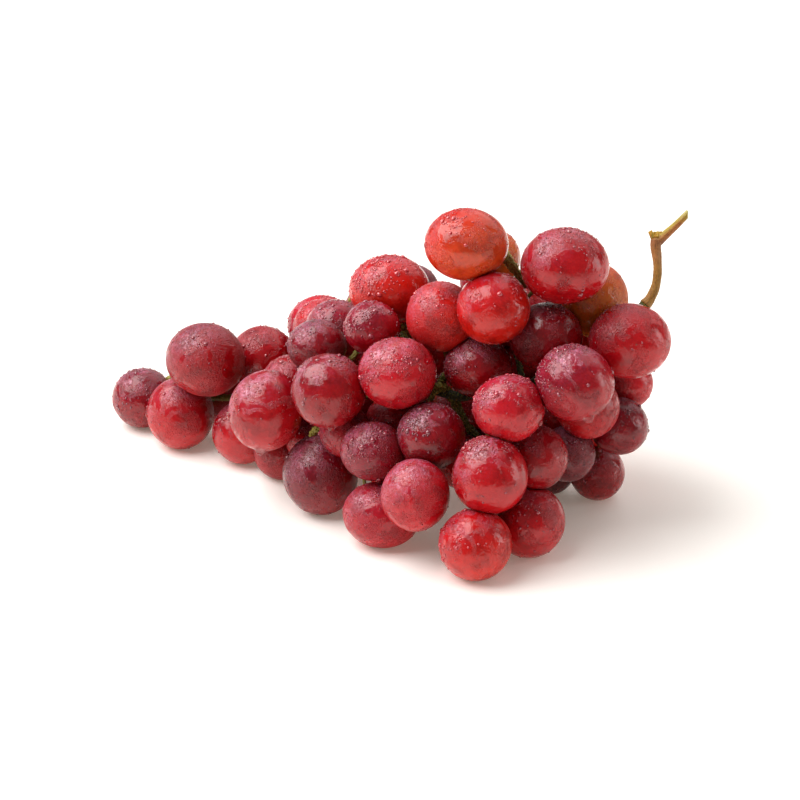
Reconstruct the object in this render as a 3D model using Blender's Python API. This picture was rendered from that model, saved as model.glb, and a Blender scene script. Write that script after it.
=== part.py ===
"""A bunch of red table grapes, lying on its side as picked.

The berries that show in the photograph are placed one by one, from where each is seen and how far
it lies from the picture plane. A seeded rule adds the berries behind and inside. All of them then
settle: they rest on the surface, press on each other within a spray, and leave a narrow gap between
sprays and round the stem. The stem grows from the cut end along the gaps between the berries, one
small stalk to each berry.

The layout is worked out in millimetres, in a frame that stands on the surface under the middle of
the picture. Blender's objects are in metres, with the origin under the middle of the bunch.
"""
import heapq
import math

import bmesh
import bpy
import numpy as np
from mathutils import Matrix, Vector

MM = 0.001
TINY = 1e-9                # keeps a length from being zero

# Driving dimensions, in millimetres
PIXEL = 0.29               # size on the bunch of one pixel of the photograph
CAMERA_DISTANCE = 1100.0
TARGET_HEIGHT = 49.4       # the middle of the picture, above the surface
ORIGIN = np.array([-31.642, 39.094, 0.0])    # the part's origin, in the layout's frame
PRESS = 1.7                # how far neighbours in a spray press into each other
SPRAY_GAP = 0.5            # between berries of different sprays
SKIN_GAP = 0.35            # between a stalk's end and its berry
SINK = 0.6                 # how far a resting berry's round form would reach below the surface
HIDDEN_RADIUS = (8.2, 11.2)
SMALL_RADIUS = (6.8, 8.2)  # hidden berries in the places that are left
RACHIS_RADIUS = (1.7, 1.0)  # at the cut end and at the tip
LATERAL_RADIUS = 1.3
PEDICEL_RADIUS = 0.62
THICKENING = 0.28          # a stalk's radius grows with this power of the berries that it carries
LEAST_RADIUS = 0.4         # of a stalk, in a tight gap
COLLAR_RADIUS = 1.25       # where a stalk widens at its berry
COLLAR_LENGTH = 2.2

# The direction of the photograph
AZIMUTH = math.radians(30)
ELEVATION = math.radians(25)
PICTURE_CENTRE = 400       # in pixels, both ways

SEEN_FORM = (12, 6)        # a berry's sides and rings
HIDDEN_FORM = (12, 5)
STALK_BEVEL_RESOLUTION = 1

COLLECTION_NAME = "bunch_of_grapes"

# Berries that show in the photograph: the centre x, y, the width and height in pixels, the turn in
# the picture in degrees, and the distance of the centre from the picture plane in millimetres,
# away from the viewer negative.
SEEN_BERRIES = (
    # the tip, at the far left
    (143, 397, 64, 62, 0, -97), (206, 358, 80, 75, -20, -72), (181, 410, 67, 72, 0, -87),
    (264, 357, 66, 64, 0, -84), (243, 431, 62, 65, 0, -76),
    # the left half, front to back
    (292, 385, 59, 59, 0, -61), (267, 410, 74, 81, -15, -44), (326, 391, 76, 75, 0, -23),
    (317, 346, 60, 54, 0, -38), (336, 330, 62, 62, 0, -55), (323, 329, 60, 60, 0, -73),
    (320, 325, 66, 60, 0, -90), (372, 328, 57, 56, 0, -23), (389, 290, 82, 71, 0, -39),
    (410, 293, 60, 60, 0, -58),
    # the crown
    (465, 243, 86, 75, 0, -14), (490, 257, 62, 62, 0, -34), (565, 266, 90, 77, 0, -9),
    (440, 316, 70, 72, 0, -20), (494, 310, 74, 72, 0, -6), (592, 299, 72, 76, 0, -29),
    (630, 341, 84, 77, 0, -13), (546, 337, 74, 70, 0, -19),
    # the right half, top to bottom
    (400, 372, 80, 72, 0, -9), (478, 368, 68, 62, 0, -23), (577, 382, 81, 76, -20, 0),
    (507.5, 405.5, 72, 68, 0, -6), (434, 434, 69, 68, 0, -10), (490, 474, 76, 80, 0, 1),
    (415, 496.5, 72, 76, 0, -2), (475, 548.5, 74, 73, 0, 0), (529, 523, 72, 73, 0, -16),
    (535, 456, 65, 66, 0, -17), (588, 405, 66, 67, 0, -20), (626, 383, 54, 52, 0, -44),
    (619, 427, 59, 58, 0, -35), (566, 454, 57, 57, 0, -33), (597, 472, 56, 57, 0, -52),
    (552, 469, 48, 50, 0, -56),
    # low on the left and between the others
    (371, 452, 66, 60, 0, -17), (381, 516, 78, 66, -10, -21), (320, 472, 75, 81, 0, -47),
    (283, 455, 56, 55, 0, -64), (392, 420, 50, 50, 0, -30), (308, 440, 44, 44, 0, -61),
    (345, 430, 52, 52, 0, -36), (352, 400, 56, 56, 0, -49), (520, 370, 60, 60, 0, -37),
    (553, 418, 60, 60, 0, -35), (457, 409, 60, 60, 0, -50), (224, 402, 54, 54, 0, -98),
)

# The main stem inside the bunch, from where it leaves the berries to the tip of the bunch
RACHIS = np.array([(42.8, 72.1, 61.6), (39, 65, 54), (31, 54, 46), (18, 42, 41), (0, 36, 36),
                   (-20, 36, 36), (-43, 36, 31), (-64, 41, 22), (-82, 42, 14), (-97, 42, 11)])

# The bare end of the stem: a cut branch, the node that it grows from, and a short stub.
# Each point is a place and a radius.
CUT_BRANCH = ((47.8, 88.0, 85.9, 1.05), (45.6, 85.2, 82.9, 1.15), (43.2, 82.2, 80.0, 1.4),
              (41.7, 80.6, 78.4, 1.75))
STUB = ((39.4, 80.9, 81.6, 0.75), (40.6, 80.7, 80.0, 1.1), (41.7, 80.6, 78.4, 1.6))
PEDUNCLE = ((41.7, 80.6, 79.4, 1.5), (42.1, 79.8, 77.0, 1.55), (43.2, 78.8, 73.6, 1.3),
            (44.1, 77.3, 69.8, 1.25), (44.3, 75.6, 66.2, 1.3), (43.6, 73.6, 63.0, 1.5),
            (*RACHIS[0], RACHIS_RADIUS[0]))

# The middle of each spray, and its name
SPRAYS = {
    "berries_tip": (-92, 36, 16),
    "berries_front_left": (-34, 8, 28),
    "berries_back_left": (-45, 58, 28),
    "berries_front_right": (26, 8, 28),
    "berries_back_right": (22, 62, 28),
    "berries_crown": (12, 42, 68),
}

SPRAY_MIDDLES = np.array(list(SPRAYS.values()), float)

# The outline that the hidden berries fill: along the bunch, where its axis runs and how wide it is
OUTLINE_X = (-100, -85, -75, -50, -25, 0, 25, 45, 58)
OUTLINE_RADIUS = (6, 14, 22, 31, 36, 40, 40, 34, 20)
AXIS_X = (-114, -60, 0, 60)
AXIS_Y = (40, 42, 40, 40)
AXIS_Z = (12, 26, 42, 44)

SEEN_YIELD = 0.12          # how readily a seen berry leaves its place in the picture, of 1
HOMING = np.array([0.3, 0.3, 0.02])    # how strongly it returns, across the picture and in depth
SOFTNESS = 0.5             # how softly berries push and pull
HIDDEN_SEED = 18
STALK_SEED = 29
STEM_ROOM = 2.4            # from the main stem's middle line to a berry
ROUTE_ROOM = 0.95          # the least room round a stalk's middle line
ON_SURFACE = 1.2           # berries that come this near the surface are laid on it
LINK_REACH = 6.5           # the longest straight step of a stalk
SHOWING_COST = 4           # how much more of its way a stalk goes to stay behind the berries
RACHIS_STEP = 4.0


def view_axes():
    """The picture's right, up and towards-the-viewer directions, one a row."""
    right = np.array([math.cos(AZIMUTH), math.sin(AZIMUTH), 0])
    away = np.array([-math.sin(AZIMUTH), math.cos(AZIMUTH), 0])
    up = np.array([0, 0, 1])
    rise = math.sin(ELEVATION)*away + math.cos(ELEVATION)*up
    towards = -math.cos(ELEVATION)*away + math.sin(ELEVATION)*up
    return np.array([right, rise, towards])


VIEW = view_axes()
UP = VIEW @ np.array([0, 0, 1])
TARGET = np.array([0, 0, TARGET_HEIGHT])


def to_layout(points):
    """From the picture's axes to the layout's."""
    return points @ VIEW + TARGET


def to_picture(points):
    """From the layout's axes to the picture's."""
    return (points - TARGET) @ VIEW.T


class Berries:
    """Ellipsoids in the picture's axes: centres, half widths, and their turn in the picture."""

    def __init__(self, centres, radii, turns):
        self.centres = centres
        self.radii = radii
        self.turns = turns

    def __len__(self):
        return len(self.centres)

    def with_one_more(self, centre, radius):
        return Berries(np.vstack([self.centres, centre]),
                       np.vstack([self.radii, [radius]*3]),
                       np.append(self.turns, 0.0))

    def reach(self, directions):
        """How far each berry's skin lies from its centre; berries run along the last but one axis."""
        return skin_reach(directions, self.radii, self.turns)

    def lowest(self):
        """The height of each berry's lowest point above the surface."""
        return self.centres @ UP + TARGET_HEIGHT - self.reach(np.tile(UP, (len(self), 1)))

    def gaps(self):
        """The gap between every two berries, and the direction from one to the other."""
        away = self.centres[None] - self.centres[:, None]
        each = np.arange(len(self))
        away[each, each, 2] = CAMERA_DISTANCE
        distance = np.linalg.norm(away, axis=2)
        directions = away/distance[..., None]
        first = skin_reach(directions, self.radii[:, None], self.turns[:, None])
        return distance - first - self.reach(directions), directions

    def skins_from(self, points):
        """How far each point of the layout is from each berry's skin, and the way out of it."""
        away = to_picture(points)[:, None] - self.centres[None]
        distance = np.linalg.norm(away, axis=2) + TINY
        directions = away/distance[..., None]
        return distance - self.reach(directions), directions

    def room(self, points):
        """The room round each point, and the way from the nearest berry, in the layout's axes."""
        skins, directions = self.skins_from(points)
        nearest = skins.argmin(1)
        each = np.arange(len(points))
        return skins[each, nearest], directions[each, nearest] @ VIEW


def skin_reach(directions, radii, turns):
    """The half width of an ellipsoid along a direction of the picture."""
    across = directions[..., 0]*np.cos(turns) + directions[..., 1]*np.sin(turns)
    along = directions[..., 1]*np.cos(turns) - directions[..., 0]*np.sin(turns)
    return 1/np.sqrt((across/radii[..., 0])**2 + (along/radii[..., 1])**2
                     + (directions[..., 2]/radii[..., 2])**2)


def seen_berries():
    """The berries of the photograph, where it shows them."""
    x, y, width, height, turn, depth = np.array(SEEN_BERRIES, float).T
    scale = PIXEL*(1 - depth/CAMERA_DISTANCE)
    centres = np.stack([(x - PICTURE_CENTRE)*scale, (PICTURE_CENTRE - y)*scale, depth], 1)
    half_width = width/2*scale
    half_height = height/2*scale
    radii = np.stack([half_width, half_height, np.sqrt(half_width*half_height)], 1)
    return Berries(centres, radii, np.radians(turn))


def nearest_on_rachis(points):
    """The distance of each point from the main stem's middle line, and the nearest point on it."""
    best = np.full(len(points), np.inf)
    nearest = np.zeros_like(points)
    for start, end in zip(RACHIS[:-1], RACHIS[1:]):
        run = end - start
        share = np.clip((points - start) @ run/(run @ run), 0, 1)
        on_run = start + share[:, None]*run
        distance = np.linalg.norm(points - on_run, axis=1)
        closer = distance < best
        best[closer] = distance[closer]
        nearest[closer] = on_run[closer]
    return best, nearest


def settle(berries, yields, home, least, held, grounded, steps):
    """Move berries until no two are nearer than least, held pairs touch, and none is too low.

    A seen berry yields freely in depth and little across the picture, where it returns home,
    less so in the last third of the steps.
    """
    stem_softness = 0.05
    step_share, longest_move = 0.5, 0.8
    late_homing = 0.1
    free = np.stack([yields, yields, np.ones(len(berries))], 1)
    centres = berries.centres.copy()
    for step in range(steps):
        now = Berries(centres, berries.radii, berries.turns)
        gaps, directions = now.gaps()
        need = np.where(held, least - gaps, np.clip(least - gaps, 0, None))
        give = (free[:, None]*directions**2).sum(2) + (free[None]*directions**2).sum(2)
        move = -((need/(give + SOFTNESS))[..., None]*directions*free[:, None]).sum(1)
        lift = -SINK - now.lowest()
        lift = np.where(grounded, lift, np.clip(lift, 0, None))
        move += (lift/(free @ UP**2))[:, None]*free*UP
        places = to_layout(centres)
        distance, nearest = nearest_on_rachis(places)
        outward = (places - nearest)/distance[:, None] @ VIEW.T
        short = np.clip(now.reach(outward) + STEM_ROOM - distance, 0, None)
        move += (short/((free*outward**2).sum(1) + stem_softness))[:, None]*free*outward
        length = np.linalg.norm(move, axis=1, keepdims=True) + TINY
        centres += step_share*move*np.minimum(1, longest_move/length)
        strength = 1 if step < steps*2//3 else late_homing
        centres += strength*(home - centres)*(1 - yields)[:, None]*HOMING
    return Berries(centres, berries.radii, berries.turns)


def hidden_by(berries, places):
    """Whether the berries hide each place of the picture's axes from the viewer."""
    nearer = (CAMERA_DISTANCE - berries.centres[:, 2])/(CAMERA_DISTANCE - places[..., 2:])
    right = places[..., :1]*nearer - berries.centres[:, 0]
    rise = places[..., 1:2]*nearer - berries.centres[:, 1]
    across = (right*np.cos(berries.turns) + rise*np.sin(berries.turns))/berries.radii[:, 0]
    along = (rise*np.cos(berries.turns) - right*np.sin(berries.turns))/berries.radii[:, 1]
    inside = 1 - across**2 - along**2
    face = berries.centres[:, 2] + berries.radii[:, 2]*np.sqrt(np.clip(inside, 0, None))
    return np.where(inside > 0, face, -np.inf).max(-1) > places[..., 2]


def share_hidden(centres, radius, seen):
    """The share of each berry of this radius that the seen berries hide from the viewer."""
    sides, outer, inner = 14, 0.98, 0.6
    angles = np.linspace(0, 2*math.pi, sides, endpoint=False)
    ring = np.stack([np.cos(angles), np.sin(angles)], 1)
    disc = np.concatenate([outer*ring, inner*ring, np.zeros((1, 2))])
    face = np.column_stack([disc, np.sqrt(1 - (disc**2).sum(1))])
    return hidden_by(seen, centres[:, None] + radius*face).mean(1)


def add_hidden_berries(seen):
    """Fill the back and the inside with berries that the seen ones hide, each in a snug place."""
    draws = np.random.default_rng(HIDDEN_SEED)
    turns, large_turns, tries = 46, 36, 4000
    innermost = 0.05       # the share of the outline's section round its axis that is left free
    stretch = 1.08         # how much wider than high that section is
    most_overlap = 0.9     # with a neighbour, before settling
    least_hidden = 0.97
    neighbours, height_cost = 4, 0.03
    berries = seen
    for turn in range(turns):
        radius = draws.uniform(*(HIDDEN_RADIUS if turn < large_turns else SMALL_RADIUS))
        x = draws.uniform(OUTLINE_X[0], OUTLINE_X[-1], tries)
        angle = draws.uniform(0, 2*math.pi, tries)
        share_out_from_axis = np.sqrt(draws.uniform(innermost, 1, tries))
        out = np.interp(x, OUTLINE_X, OUTLINE_RADIUS)*share_out_from_axis
        y = np.interp(x, AXIS_X, AXIS_Y) + stretch*out*np.cos(angle)
        z = np.interp(x, AXIS_X, AXIS_Z) + out*np.sin(angle)
        places = np.stack([x, y, z], 1)[z > radius - SINK]
        skins, _ = berries.skins_from(places)
        from_rachis, _ = nearest_on_rachis(places)
        good = (skins.min(1) > radius - most_overlap) & (from_rachis > radius + STEM_ROOM)
        centres = to_picture(places)
        good[good] = share_hidden(centres[good], radius, seen) > least_hidden
        if not good.any():
            continue
        # the snuggest place is the one nearest to its neighbours, and low rather than high
        slack = np.sort(skins[good], 1)[:, :neighbours].mean(1) + height_cost*places[good, 2]
        berries = berries.with_one_more(centres[good][slack.argmin()], radius)
    return berries


def share_out(berries, seen_count):
    """Each berry joins the spray that reaches it first through berries that nearly touch.

    Two seen berries can close a gap in depth only, so a gap that stays across the picture costs
    more. Returns the spray of each berry, and the berry that it hangs together with.
    """
    overlap_wanted, stiffness = 0.5, 3
    each_berry, each_gap, from_middle = 10, 12, 0.4    # what a way costs
    gaps, directions = berries.gaps()
    depth_share = directions[..., 2]**2
    seen = np.arange(len(berries)) < seen_count
    stiff = (seen[:, None] & seen[None])*(1 - depth_share)
    effort = np.clip(gaps + overlap_wanted, 0, None)**1.5*(1 + stiffness*stiff)
    places = to_layout(berries.centres)
    count = len(berries)
    cost = np.full(count, np.inf)
    spray = np.full(count, -1)
    partner = np.full(count, -1)
    done = np.zeros(count, bool)
    heap = []
    for number, middle in enumerate(SPRAY_MIDDLES):
        first = int(np.linalg.norm(places - middle, axis=1).argmin())
        cost[first] = 0
        spray[first] = number
        heapq.heappush(heap, (0.0, first))
    while heap:
        so_far, here = heapq.heappop(heap)
        if done[here]:
            continue
        done[here] = True
        stray = np.linalg.norm(places - SPRAY_MIDDLES[spray[here]], axis=1)
        onward = so_far + each_berry + each_gap*effort[here] + from_middle*stray
        for other in np.flatnonzero(~done & (onward < cost)):
            cost[other] = onward[other]
            spray[other] = spray[here]
            partner[other] = here
            heapq.heappush(heap, (onward[other], int(other)))
    return spray, partner


def lay_out_berries():
    """All berries in their settled places, and the spray that each belongs to."""
    loose_overlap, loose_steps, steps = 0.35, 150, 600
    seen = seen_berries()
    count = len(seen)
    yields = np.full(count, SEEN_YIELD)
    least = np.full((count, count), -loose_overlap)
    nothing = np.zeros((count, count), bool)
    loose = settle(seen, yields, seen.centres, least, nothing, nothing[0], loose_steps)
    berries = add_hidden_berries(loose)

    spray, partner = share_out(berries, len(seen))
    count = len(berries)
    yields = np.ones(count)
    yields[:len(seen)] = SEEN_YIELD
    home = berries.centres.copy()
    home[:len(seen)] = seen.centres
    least = np.where(spray[:, None] == spray[None], -PRESS, SPRAY_GAP)
    held = np.zeros((count, count), bool)
    joined = np.flatnonzero(partner >= 0)
    held[joined, partner[joined]] = True
    held |= held.T
    grounded = berries.lowest() < ON_SURFACE
    return settle(berries, yields, home, least, held, grounded, steps), spray


def spaced(path, step):
    """Points at even steps along a path."""
    runs = np.linalg.norm(np.diff(path, axis=0), axis=1)
    marks = np.concatenate([[0], np.cumsum(runs)])
    wanted = np.linspace(0, marks[-1], int(marks[-1]//step) + 1)
    return np.stack([np.interp(wanted, marks, path[:, axis]) for axis in range(3)], 1)


def free_points(berries):
    """Seeded points in the gaps between the berries, each moved to where it has room."""
    draws = np.random.default_rng(STALK_SEED)
    count, rounds = 14000, 14
    margin_below, margin_above = 12, 6     # beyond the berries' centres
    lowest_stalk = 1.6
    near_skin, room_wanted, push = 3, 1.5, 0.6
    places = to_layout(berries.centres)
    low, high = places.min(0) - margin_below, places.max(0) + margin_above
    low[2] = lowest_stalk
    points = draws.uniform(low, high, (count, 3))
    room, _ = berries.room(points)
    points = points[np.abs(room) < near_skin]
    for _ in range(rounds):
        room, way_out = berries.room(points)
        points = points + push*way_out*np.clip(room_wanted - room, 0, 1)[:, None]
        points[:, 2] = np.maximum(points[:, 2], lowest_stalk)
    room, _ = berries.room(points)
    return points[room > ROUTE_ROOM]


def clear_links(points, berries):
    """Pairs of points with a straight way between them, and its cost.

    That is its length, or more where it would show between the berries.
    """
    least_room = ROUTE_ROOM - 0.1
    between = (0.25, 0.5, 0.75)
    first, second = [], []
    for start, point in enumerate(points):
        near = np.linalg.norm(points[start + 1:] - point, axis=1) < LINK_REACH
        ends = start + 1 + np.flatnonzero(near)
        first.append(np.full(len(ends), start))
        second.append(ends)
    first, second = np.concatenate(first), np.concatenate(second)
    clear = np.ones(len(first), bool)
    for share in between:
        room, _ = berries.room(points[first]*(1 - share) + points[second]*share)
        clear &= room > least_room
    first, second = first[clear], second[clear]
    length = np.linalg.norm(points[first] - points[second], axis=1)
    shows = ~hidden_by(berries, to_picture(points))
    cost = length*(1 + SHOWING_COST*(shows[first] + shows[second]))
    return zip(first.tolist(), second.tolist(), cost.tolist())


def ways_from_rachis(points, links, rachis_count):
    """The cost of the cheapest way from the main stem to each point, and the point before it."""
    neighbours = [[] for _ in points]
    for first, second, cost in links:
        neighbours[first].append((second, cost))
        neighbours[second].append((first, cost))
    cost_to = np.full(len(points), np.inf)
    before = np.full(len(points), -1)
    cost_to[:rachis_count] = 0
    before[:rachis_count] = np.arange(rachis_count) - 1
    heap = [(0.0, point) for point in range(rachis_count)]
    while heap:
        so_far, here = heapq.heappop(heap)
        if so_far > cost_to[here]:
            continue
        for other, cost in neighbours[here]:
            if so_far + cost < cost_to[other]:
                cost_to[other] = so_far + cost
                before[other] = here
                heapq.heappush(heap, (so_far + cost, other))
    return cost_to, before


def stalk_starts(points, cost_to, before, berries):
    """The point that each berry's stalk comes from. Ways that are in use cost less."""
    nearest_start, furthest_start = 1.8, 8     # from the berry's skin
    least_room, good_room = ROUTE_ROOM - 0.05, 1.7
    length_cost, tightness_cost = 2, 20
    shared_cost = 0.35     # the share of a way's cost where it is in use
    along = (0, 0.35, 0.7, 1)
    skins, directions = berries.skins_from(points)
    cost = cost_to.copy()
    in_range = (skins > nearest_start) & (skins < furthest_start)
    in_range &= np.isfinite(cost_to)[:, None]
    nearest = np.where(in_range, cost_to[:, None], np.inf).min(0)
    starts = {}
    for berry in np.argsort(nearest, kind="stable").tolist():
        near = np.flatnonzero(in_range[:, berry])
        way = directions[near, berry]
        skin = skin_reach(way, berries.radii[berry], berries.turns[berry])
        ends = to_layout(berries.centres[berry] + way*(skin + SKIN_GAP)[:, None])
        room = np.full(len(near), np.inf)
        showing = np.zeros(len(near))
        for share in along:
            places = points[near]*(1 - share) + ends*share
            others, _ = berries.skins_from(places)
            room = np.minimum(room, np.delete(others, berry, 1).min(1))
            showing += ~hidden_by(berries, to_picture(places))
        score = cost[near] + tightness_cost*np.clip(good_room - room, 0, None)
        score += skins[near, berry]*(length_cost + SHOWING_COST*showing/len(along))
        score[room < least_room] = np.inf
        start = int(near[score.argmin()])
        starts[berry] = start
        while start >= 0:
            cost[start] = shared_cost*cost_to[start]
            start = int(before[start])
    return starts


class Stem:
    """The stem as a tree: the place of each point, the one before it, and the berries it carries.

    The main stem's points come first. Each berry adds two: where its collar begins and ends.
    """

    def __init__(self, berries):
        rachis = spaced(RACHIS, RACHIS_STEP)
        self.rachis_count = len(rachis)
        points = np.concatenate([rachis, free_points(berries)])
        links = clear_links(points, berries)
        cost_to, before = ways_from_rachis(points, links, self.rachis_count)
        starts = stalk_starts(points, cost_to, before, berries)
        carried = np.zeros(len(points), int)
        for start in starts.values():
            while start >= 0:
                carried[start] += 1
                start = before[start]
        kept = np.flatnonzero((carried > 0) | (np.arange(len(points)) < self.rachis_count))
        number = {int(point): place for place, point in enumerate(kept)}
        self.places = points[kept].tolist()
        self.before = [number.get(int(before[point]), -1) for point in kept]
        self.carried = carried[kept].tolist()
        self.growing = len(kept)
        for berry, start in starts.items():
            self.add_collar(berries, berry, number[start])
        self.places = np.array(self.places)
        self.after = [[] for _ in self.before]
        for point, previous in enumerate(self.before):
            if previous >= 0:
                self.after[previous].append(point)
        self.radii = self.plain_radii()
        self.smooth(berries)
        self.fit_radii(berries)

    def add_collar(self, berries, berry, start):
        way = to_picture(np.array(self.places[start])) - berries.centres[berry]
        way /= np.linalg.norm(way)
        skin = skin_reach(way, berries.radii[berry], berries.turns[berry]) + SKIN_GAP
        for out, previous in ((COLLAR_LENGTH, start), (0, len(self.places))):
            self.places.append(to_layout(berries.centres[berry] + way*(skin + out)).tolist())
            self.before.append(previous)
            self.carried.append(1)

    def plain_radii(self):
        radii = np.minimum(PEDICEL_RADIUS*np.array(self.carried)**THICKENING, LATERAL_RADIUS)
        radii[:self.rachis_count] = np.linspace(*RACHIS_RADIUS, self.rachis_count)
        radii[self.growing + 1::2] = COLLAR_RADIUS
        return radii

    def smooth(self, berries):
        """Even out the stalks' bends, and keep them clear of the berries."""
        rounds, ease = 100, 0.3
        spare, longest_push = 0.15, 0.6
        moving = np.zeros(len(self.places), bool)
        moving[self.rachis_count:self.growing] = True
        for _ in range(rounds):
            places = self.places.copy()
            for point in np.flatnonzero(moving):
                ahead = self.places[self.after[point]].mean(0)
                middle = (self.places[self.before[point]] + ahead)/2
                places[point] += ease*(middle - places[point])
            room, way_out = berries.room(places)
            push = np.clip(self.radii + SKIN_GAP + spare - room, 0, longest_push)*moving
            places += way_out*push[:, None]
            self.places = places

    def fit_radii(self, berries):
        """Slim what would come too near a berry, and keep each collar off its neighbours."""
        between = (0.3, 0.6)
        count = len(self.places)
        collar_ends = np.arange(self.growing + 1, count, 2)
        room = berries.room(self.places)[0]
        for share in between:
            middle = self.places*(1 - share) + self.places[self.before]*share
            room[1:] = np.minimum(room[1:], berries.room(middle)[0][1:])
        skins, _ = berries.skins_from(self.places[collar_ends])
        room[collar_ends] = np.sort(skins, 1)[:, 1]
        widest = np.maximum(room - SKIN_GAP, LEAST_RADIUS)
        self.radii = np.clip(self.radii, LEAST_RADIUS, widest)

    def runs(self):
        """Each stalk from its fork to its end, as places and radii, without its straight points."""
        starts = [(None, 0)]
        while starts:
            fork, point = starts.pop()
            run = [] if fork is None else [fork]
            while point is not None:
                run.append(point)
                after = sorted(self.after[point], key=lambda p: -self.carried[p])
                if point + 1 < self.rachis_count:
                    after.sort(key=lambda p: p != point + 1)
                starts += [(point, other) for other in after[1:]]
                point = after[0] if after else None
            yield self.bends_only(run)

    def bends_only(self, run):
        """The run's ends, its bends and the points where its radius changes."""
        least_bend, radius_change, longest_span = 0.45, 0.4, 10
        of_fork = 0.1      # the share of the fork's radius in the radius where the run leaves it
        places = self.places[run]
        radii = self.radii[run]
        radii[0] = min(radii[0], (1 - of_fork)*radii[1] + of_fork*radii[0])
        kept = [0]
        for point in range(1, len(run) - 1):
            ahead = places[point + 1] - places[kept[-1]]
            here = places[point] - places[kept[-1]]
            off_line = np.linalg.norm(np.cross(ahead, here))/np.linalg.norm(ahead)
            changes = abs(radii[point] - radii[point + 1]) > radius_change
            if off_line > least_bend or changes or np.linalg.norm(ahead) > longest_span:
                kept.append(point)
        kept.append(len(run) - 1)
        return places[kept], radii[kept]


def to_part(place):
    """From the layout's millimetres to the part's metres."""
    return Vector((np.asarray(place) - ORIGIN)*MM)


def clear_scene():
    for thing in list(bpy.data.objects):
        bpy.data.objects.remove(thing, do_unlink=True)


def make_collection():
    collection = bpy.data.collections.new(COLLECTION_NAME)
    bpy.context.scene.collection.children.link(collection)
    return collection


def make_material(name, colour, roughness):
    material = bpy.data.materials.new(name)
    material.use_nodes = True
    shader = material.node_tree.nodes["Principled BSDF"]
    shader.inputs["Base Color"].default_value = (*colour, 1)
    shader.inputs["Roughness"].default_value = roughness
    shader.inputs["Metallic"].default_value = 0
    material.diffuse_color = (*colour, 1)
    return material


def make_berry(name, centre, radii, turn, form):
    """A faceted ellipsoid with its poles at its top and bottom, flat where it rests."""
    sides, rings = form
    widths = np.diag(radii)
    turned = np.array(Matrix.Rotation(turn, 3, "Z"))
    shape = VIEW.T @ turned @ widths
    pole = Vector(shape.T @ (0, 0, 1)).normalized()
    stand = Vector((0, 0, 1)).rotation_difference(pole).to_matrix().to_4x4()
    place = Matrix.Translation(to_part(to_layout(centre)))
    matrix = place @ Matrix(shape*MM).to_4x4() @ stand
    mesh_maker = bmesh.new()
    bmesh.ops.create_uvsphere(mesh_maker, u_segments=sides, v_segments=rings, radius=1,
                              matrix=matrix)
    rest_on_surface(mesh_maker)
    return finish_mesh(name, mesh_maker)


def rest_on_surface(mesh_maker):
    """Cut off what would reach below the surface, and close the flat spot."""
    nearly_flat = 0.001*MM
    everything = mesh_maker.verts[:] + mesh_maker.edges[:] + mesh_maker.faces[:]
    cut = bmesh.ops.bisect_plane(mesh_maker, geom=everything, plane_co=(0, 0, 0),
                                 plane_no=(0, 0, -1), clear_outer=True)["geom_cut"]
    edges = [piece for piece in cut if isinstance(piece, bmesh.types.BMEdge)]
    if edges:
        bmesh.ops.edgenet_fill(mesh_maker, edges=edges)
    for vertex in mesh_maker.verts:
        if abs(vertex.co.z) < nearly_flat:
            vertex.co.z = 0
    bmesh.ops.recalc_face_normals(mesh_maker, faces=mesh_maker.faces[:])


def finish_mesh(name, mesh_maker):
    mesh = bpy.data.meshes.new(name)
    mesh_maker.to_mesh(mesh)
    mesh_maker.free()
    return bpy.data.objects.new(name, mesh)


def make_tube(name, places, radii):
    """A round stalk through the places, as a closed mesh."""
    weld = 0.01*MM         # joins the caps to the tube
    curve = bpy.data.curves.new(name, "CURVE")
    curve.dimensions = "3D"
    curve.bevel_depth = MM
    curve.bevel_resolution = STALK_BEVEL_RESOLUTION
    curve.use_fill_caps = True
    spline = curve.splines.new("POLY")
    spline.points.add(len(places) - 1)
    for point, place, radius in zip(spline.points, places, radii):
        point.co = (*to_part(place), 1)
        point.radius = radius
    guide = bpy.data.objects.new(name, curve)
    bpy.context.scene.collection.objects.link(guide)
    evaluated = guide.evaluated_get(bpy.context.evaluated_depsgraph_get())
    mesh = bpy.data.meshes.new_from_object(evaluated)
    mesh_maker = bmesh.new()
    mesh_maker.from_mesh(mesh)
    bmesh.ops.remove_doubles(mesh_maker, verts=mesh_maker.verts, dist=weld)
    bmesh.ops.recalc_face_normals(mesh_maker, faces=mesh_maker.faces[:])
    tube = finish_mesh(name, mesh_maker)
    tube.matrix_world = guide.matrix_world
    bpy.data.objects.remove(guide)
    bpy.data.meshes.remove(mesh)
    return tube


def unite(name, pieces, material, collection):
    """Join pieces that overlap into one closed body."""
    body, others = pieces[0], pieces[1:]
    joined = bpy.data.collections.new(name + "_pieces")
    bpy.context.scene.collection.children.link(joined)
    for piece in others:
        joined.objects.link(piece)
    body.name = name
    collection.objects.link(body)
    boolean = body.modifiers.new("join", "BOOLEAN")
    boolean.operation = "UNION"
    boolean.operand_type = "COLLECTION"
    boolean.collection = joined
    boolean.solver = "EXACT"
    evaluated = body.evaluated_get(bpy.context.evaluated_depsgraph_get())
    mesh = bpy.data.meshes.new_from_object(evaluated)
    body.modifiers.clear()
    body.data = mesh
    for piece in others:
        bpy.data.objects.remove(piece)
    bpy.data.collections.remove(joined)
    mesh.materials.clear()
    mesh.materials.append(material)
    mesh.shade_smooth()
    return body


def make_berry_sprays(berries, spray, collection):
    skin = make_material("berry_skin", (0.33, 0.02, 0.035), 0.25)
    for number, name in enumerate(SPRAYS):
        pieces = []
        for berry in np.flatnonzero(spray == number):
            form = SEEN_FORM if berry < len(SEEN_BERRIES) else HIDDEN_FORM
            pieces.append(make_berry(f"{name}_{berry}", berries.centres[berry],
                                     berries.radii[berry], float(berries.turns[berry]), form))
        unite(name, pieces, skin, collection)


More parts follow.
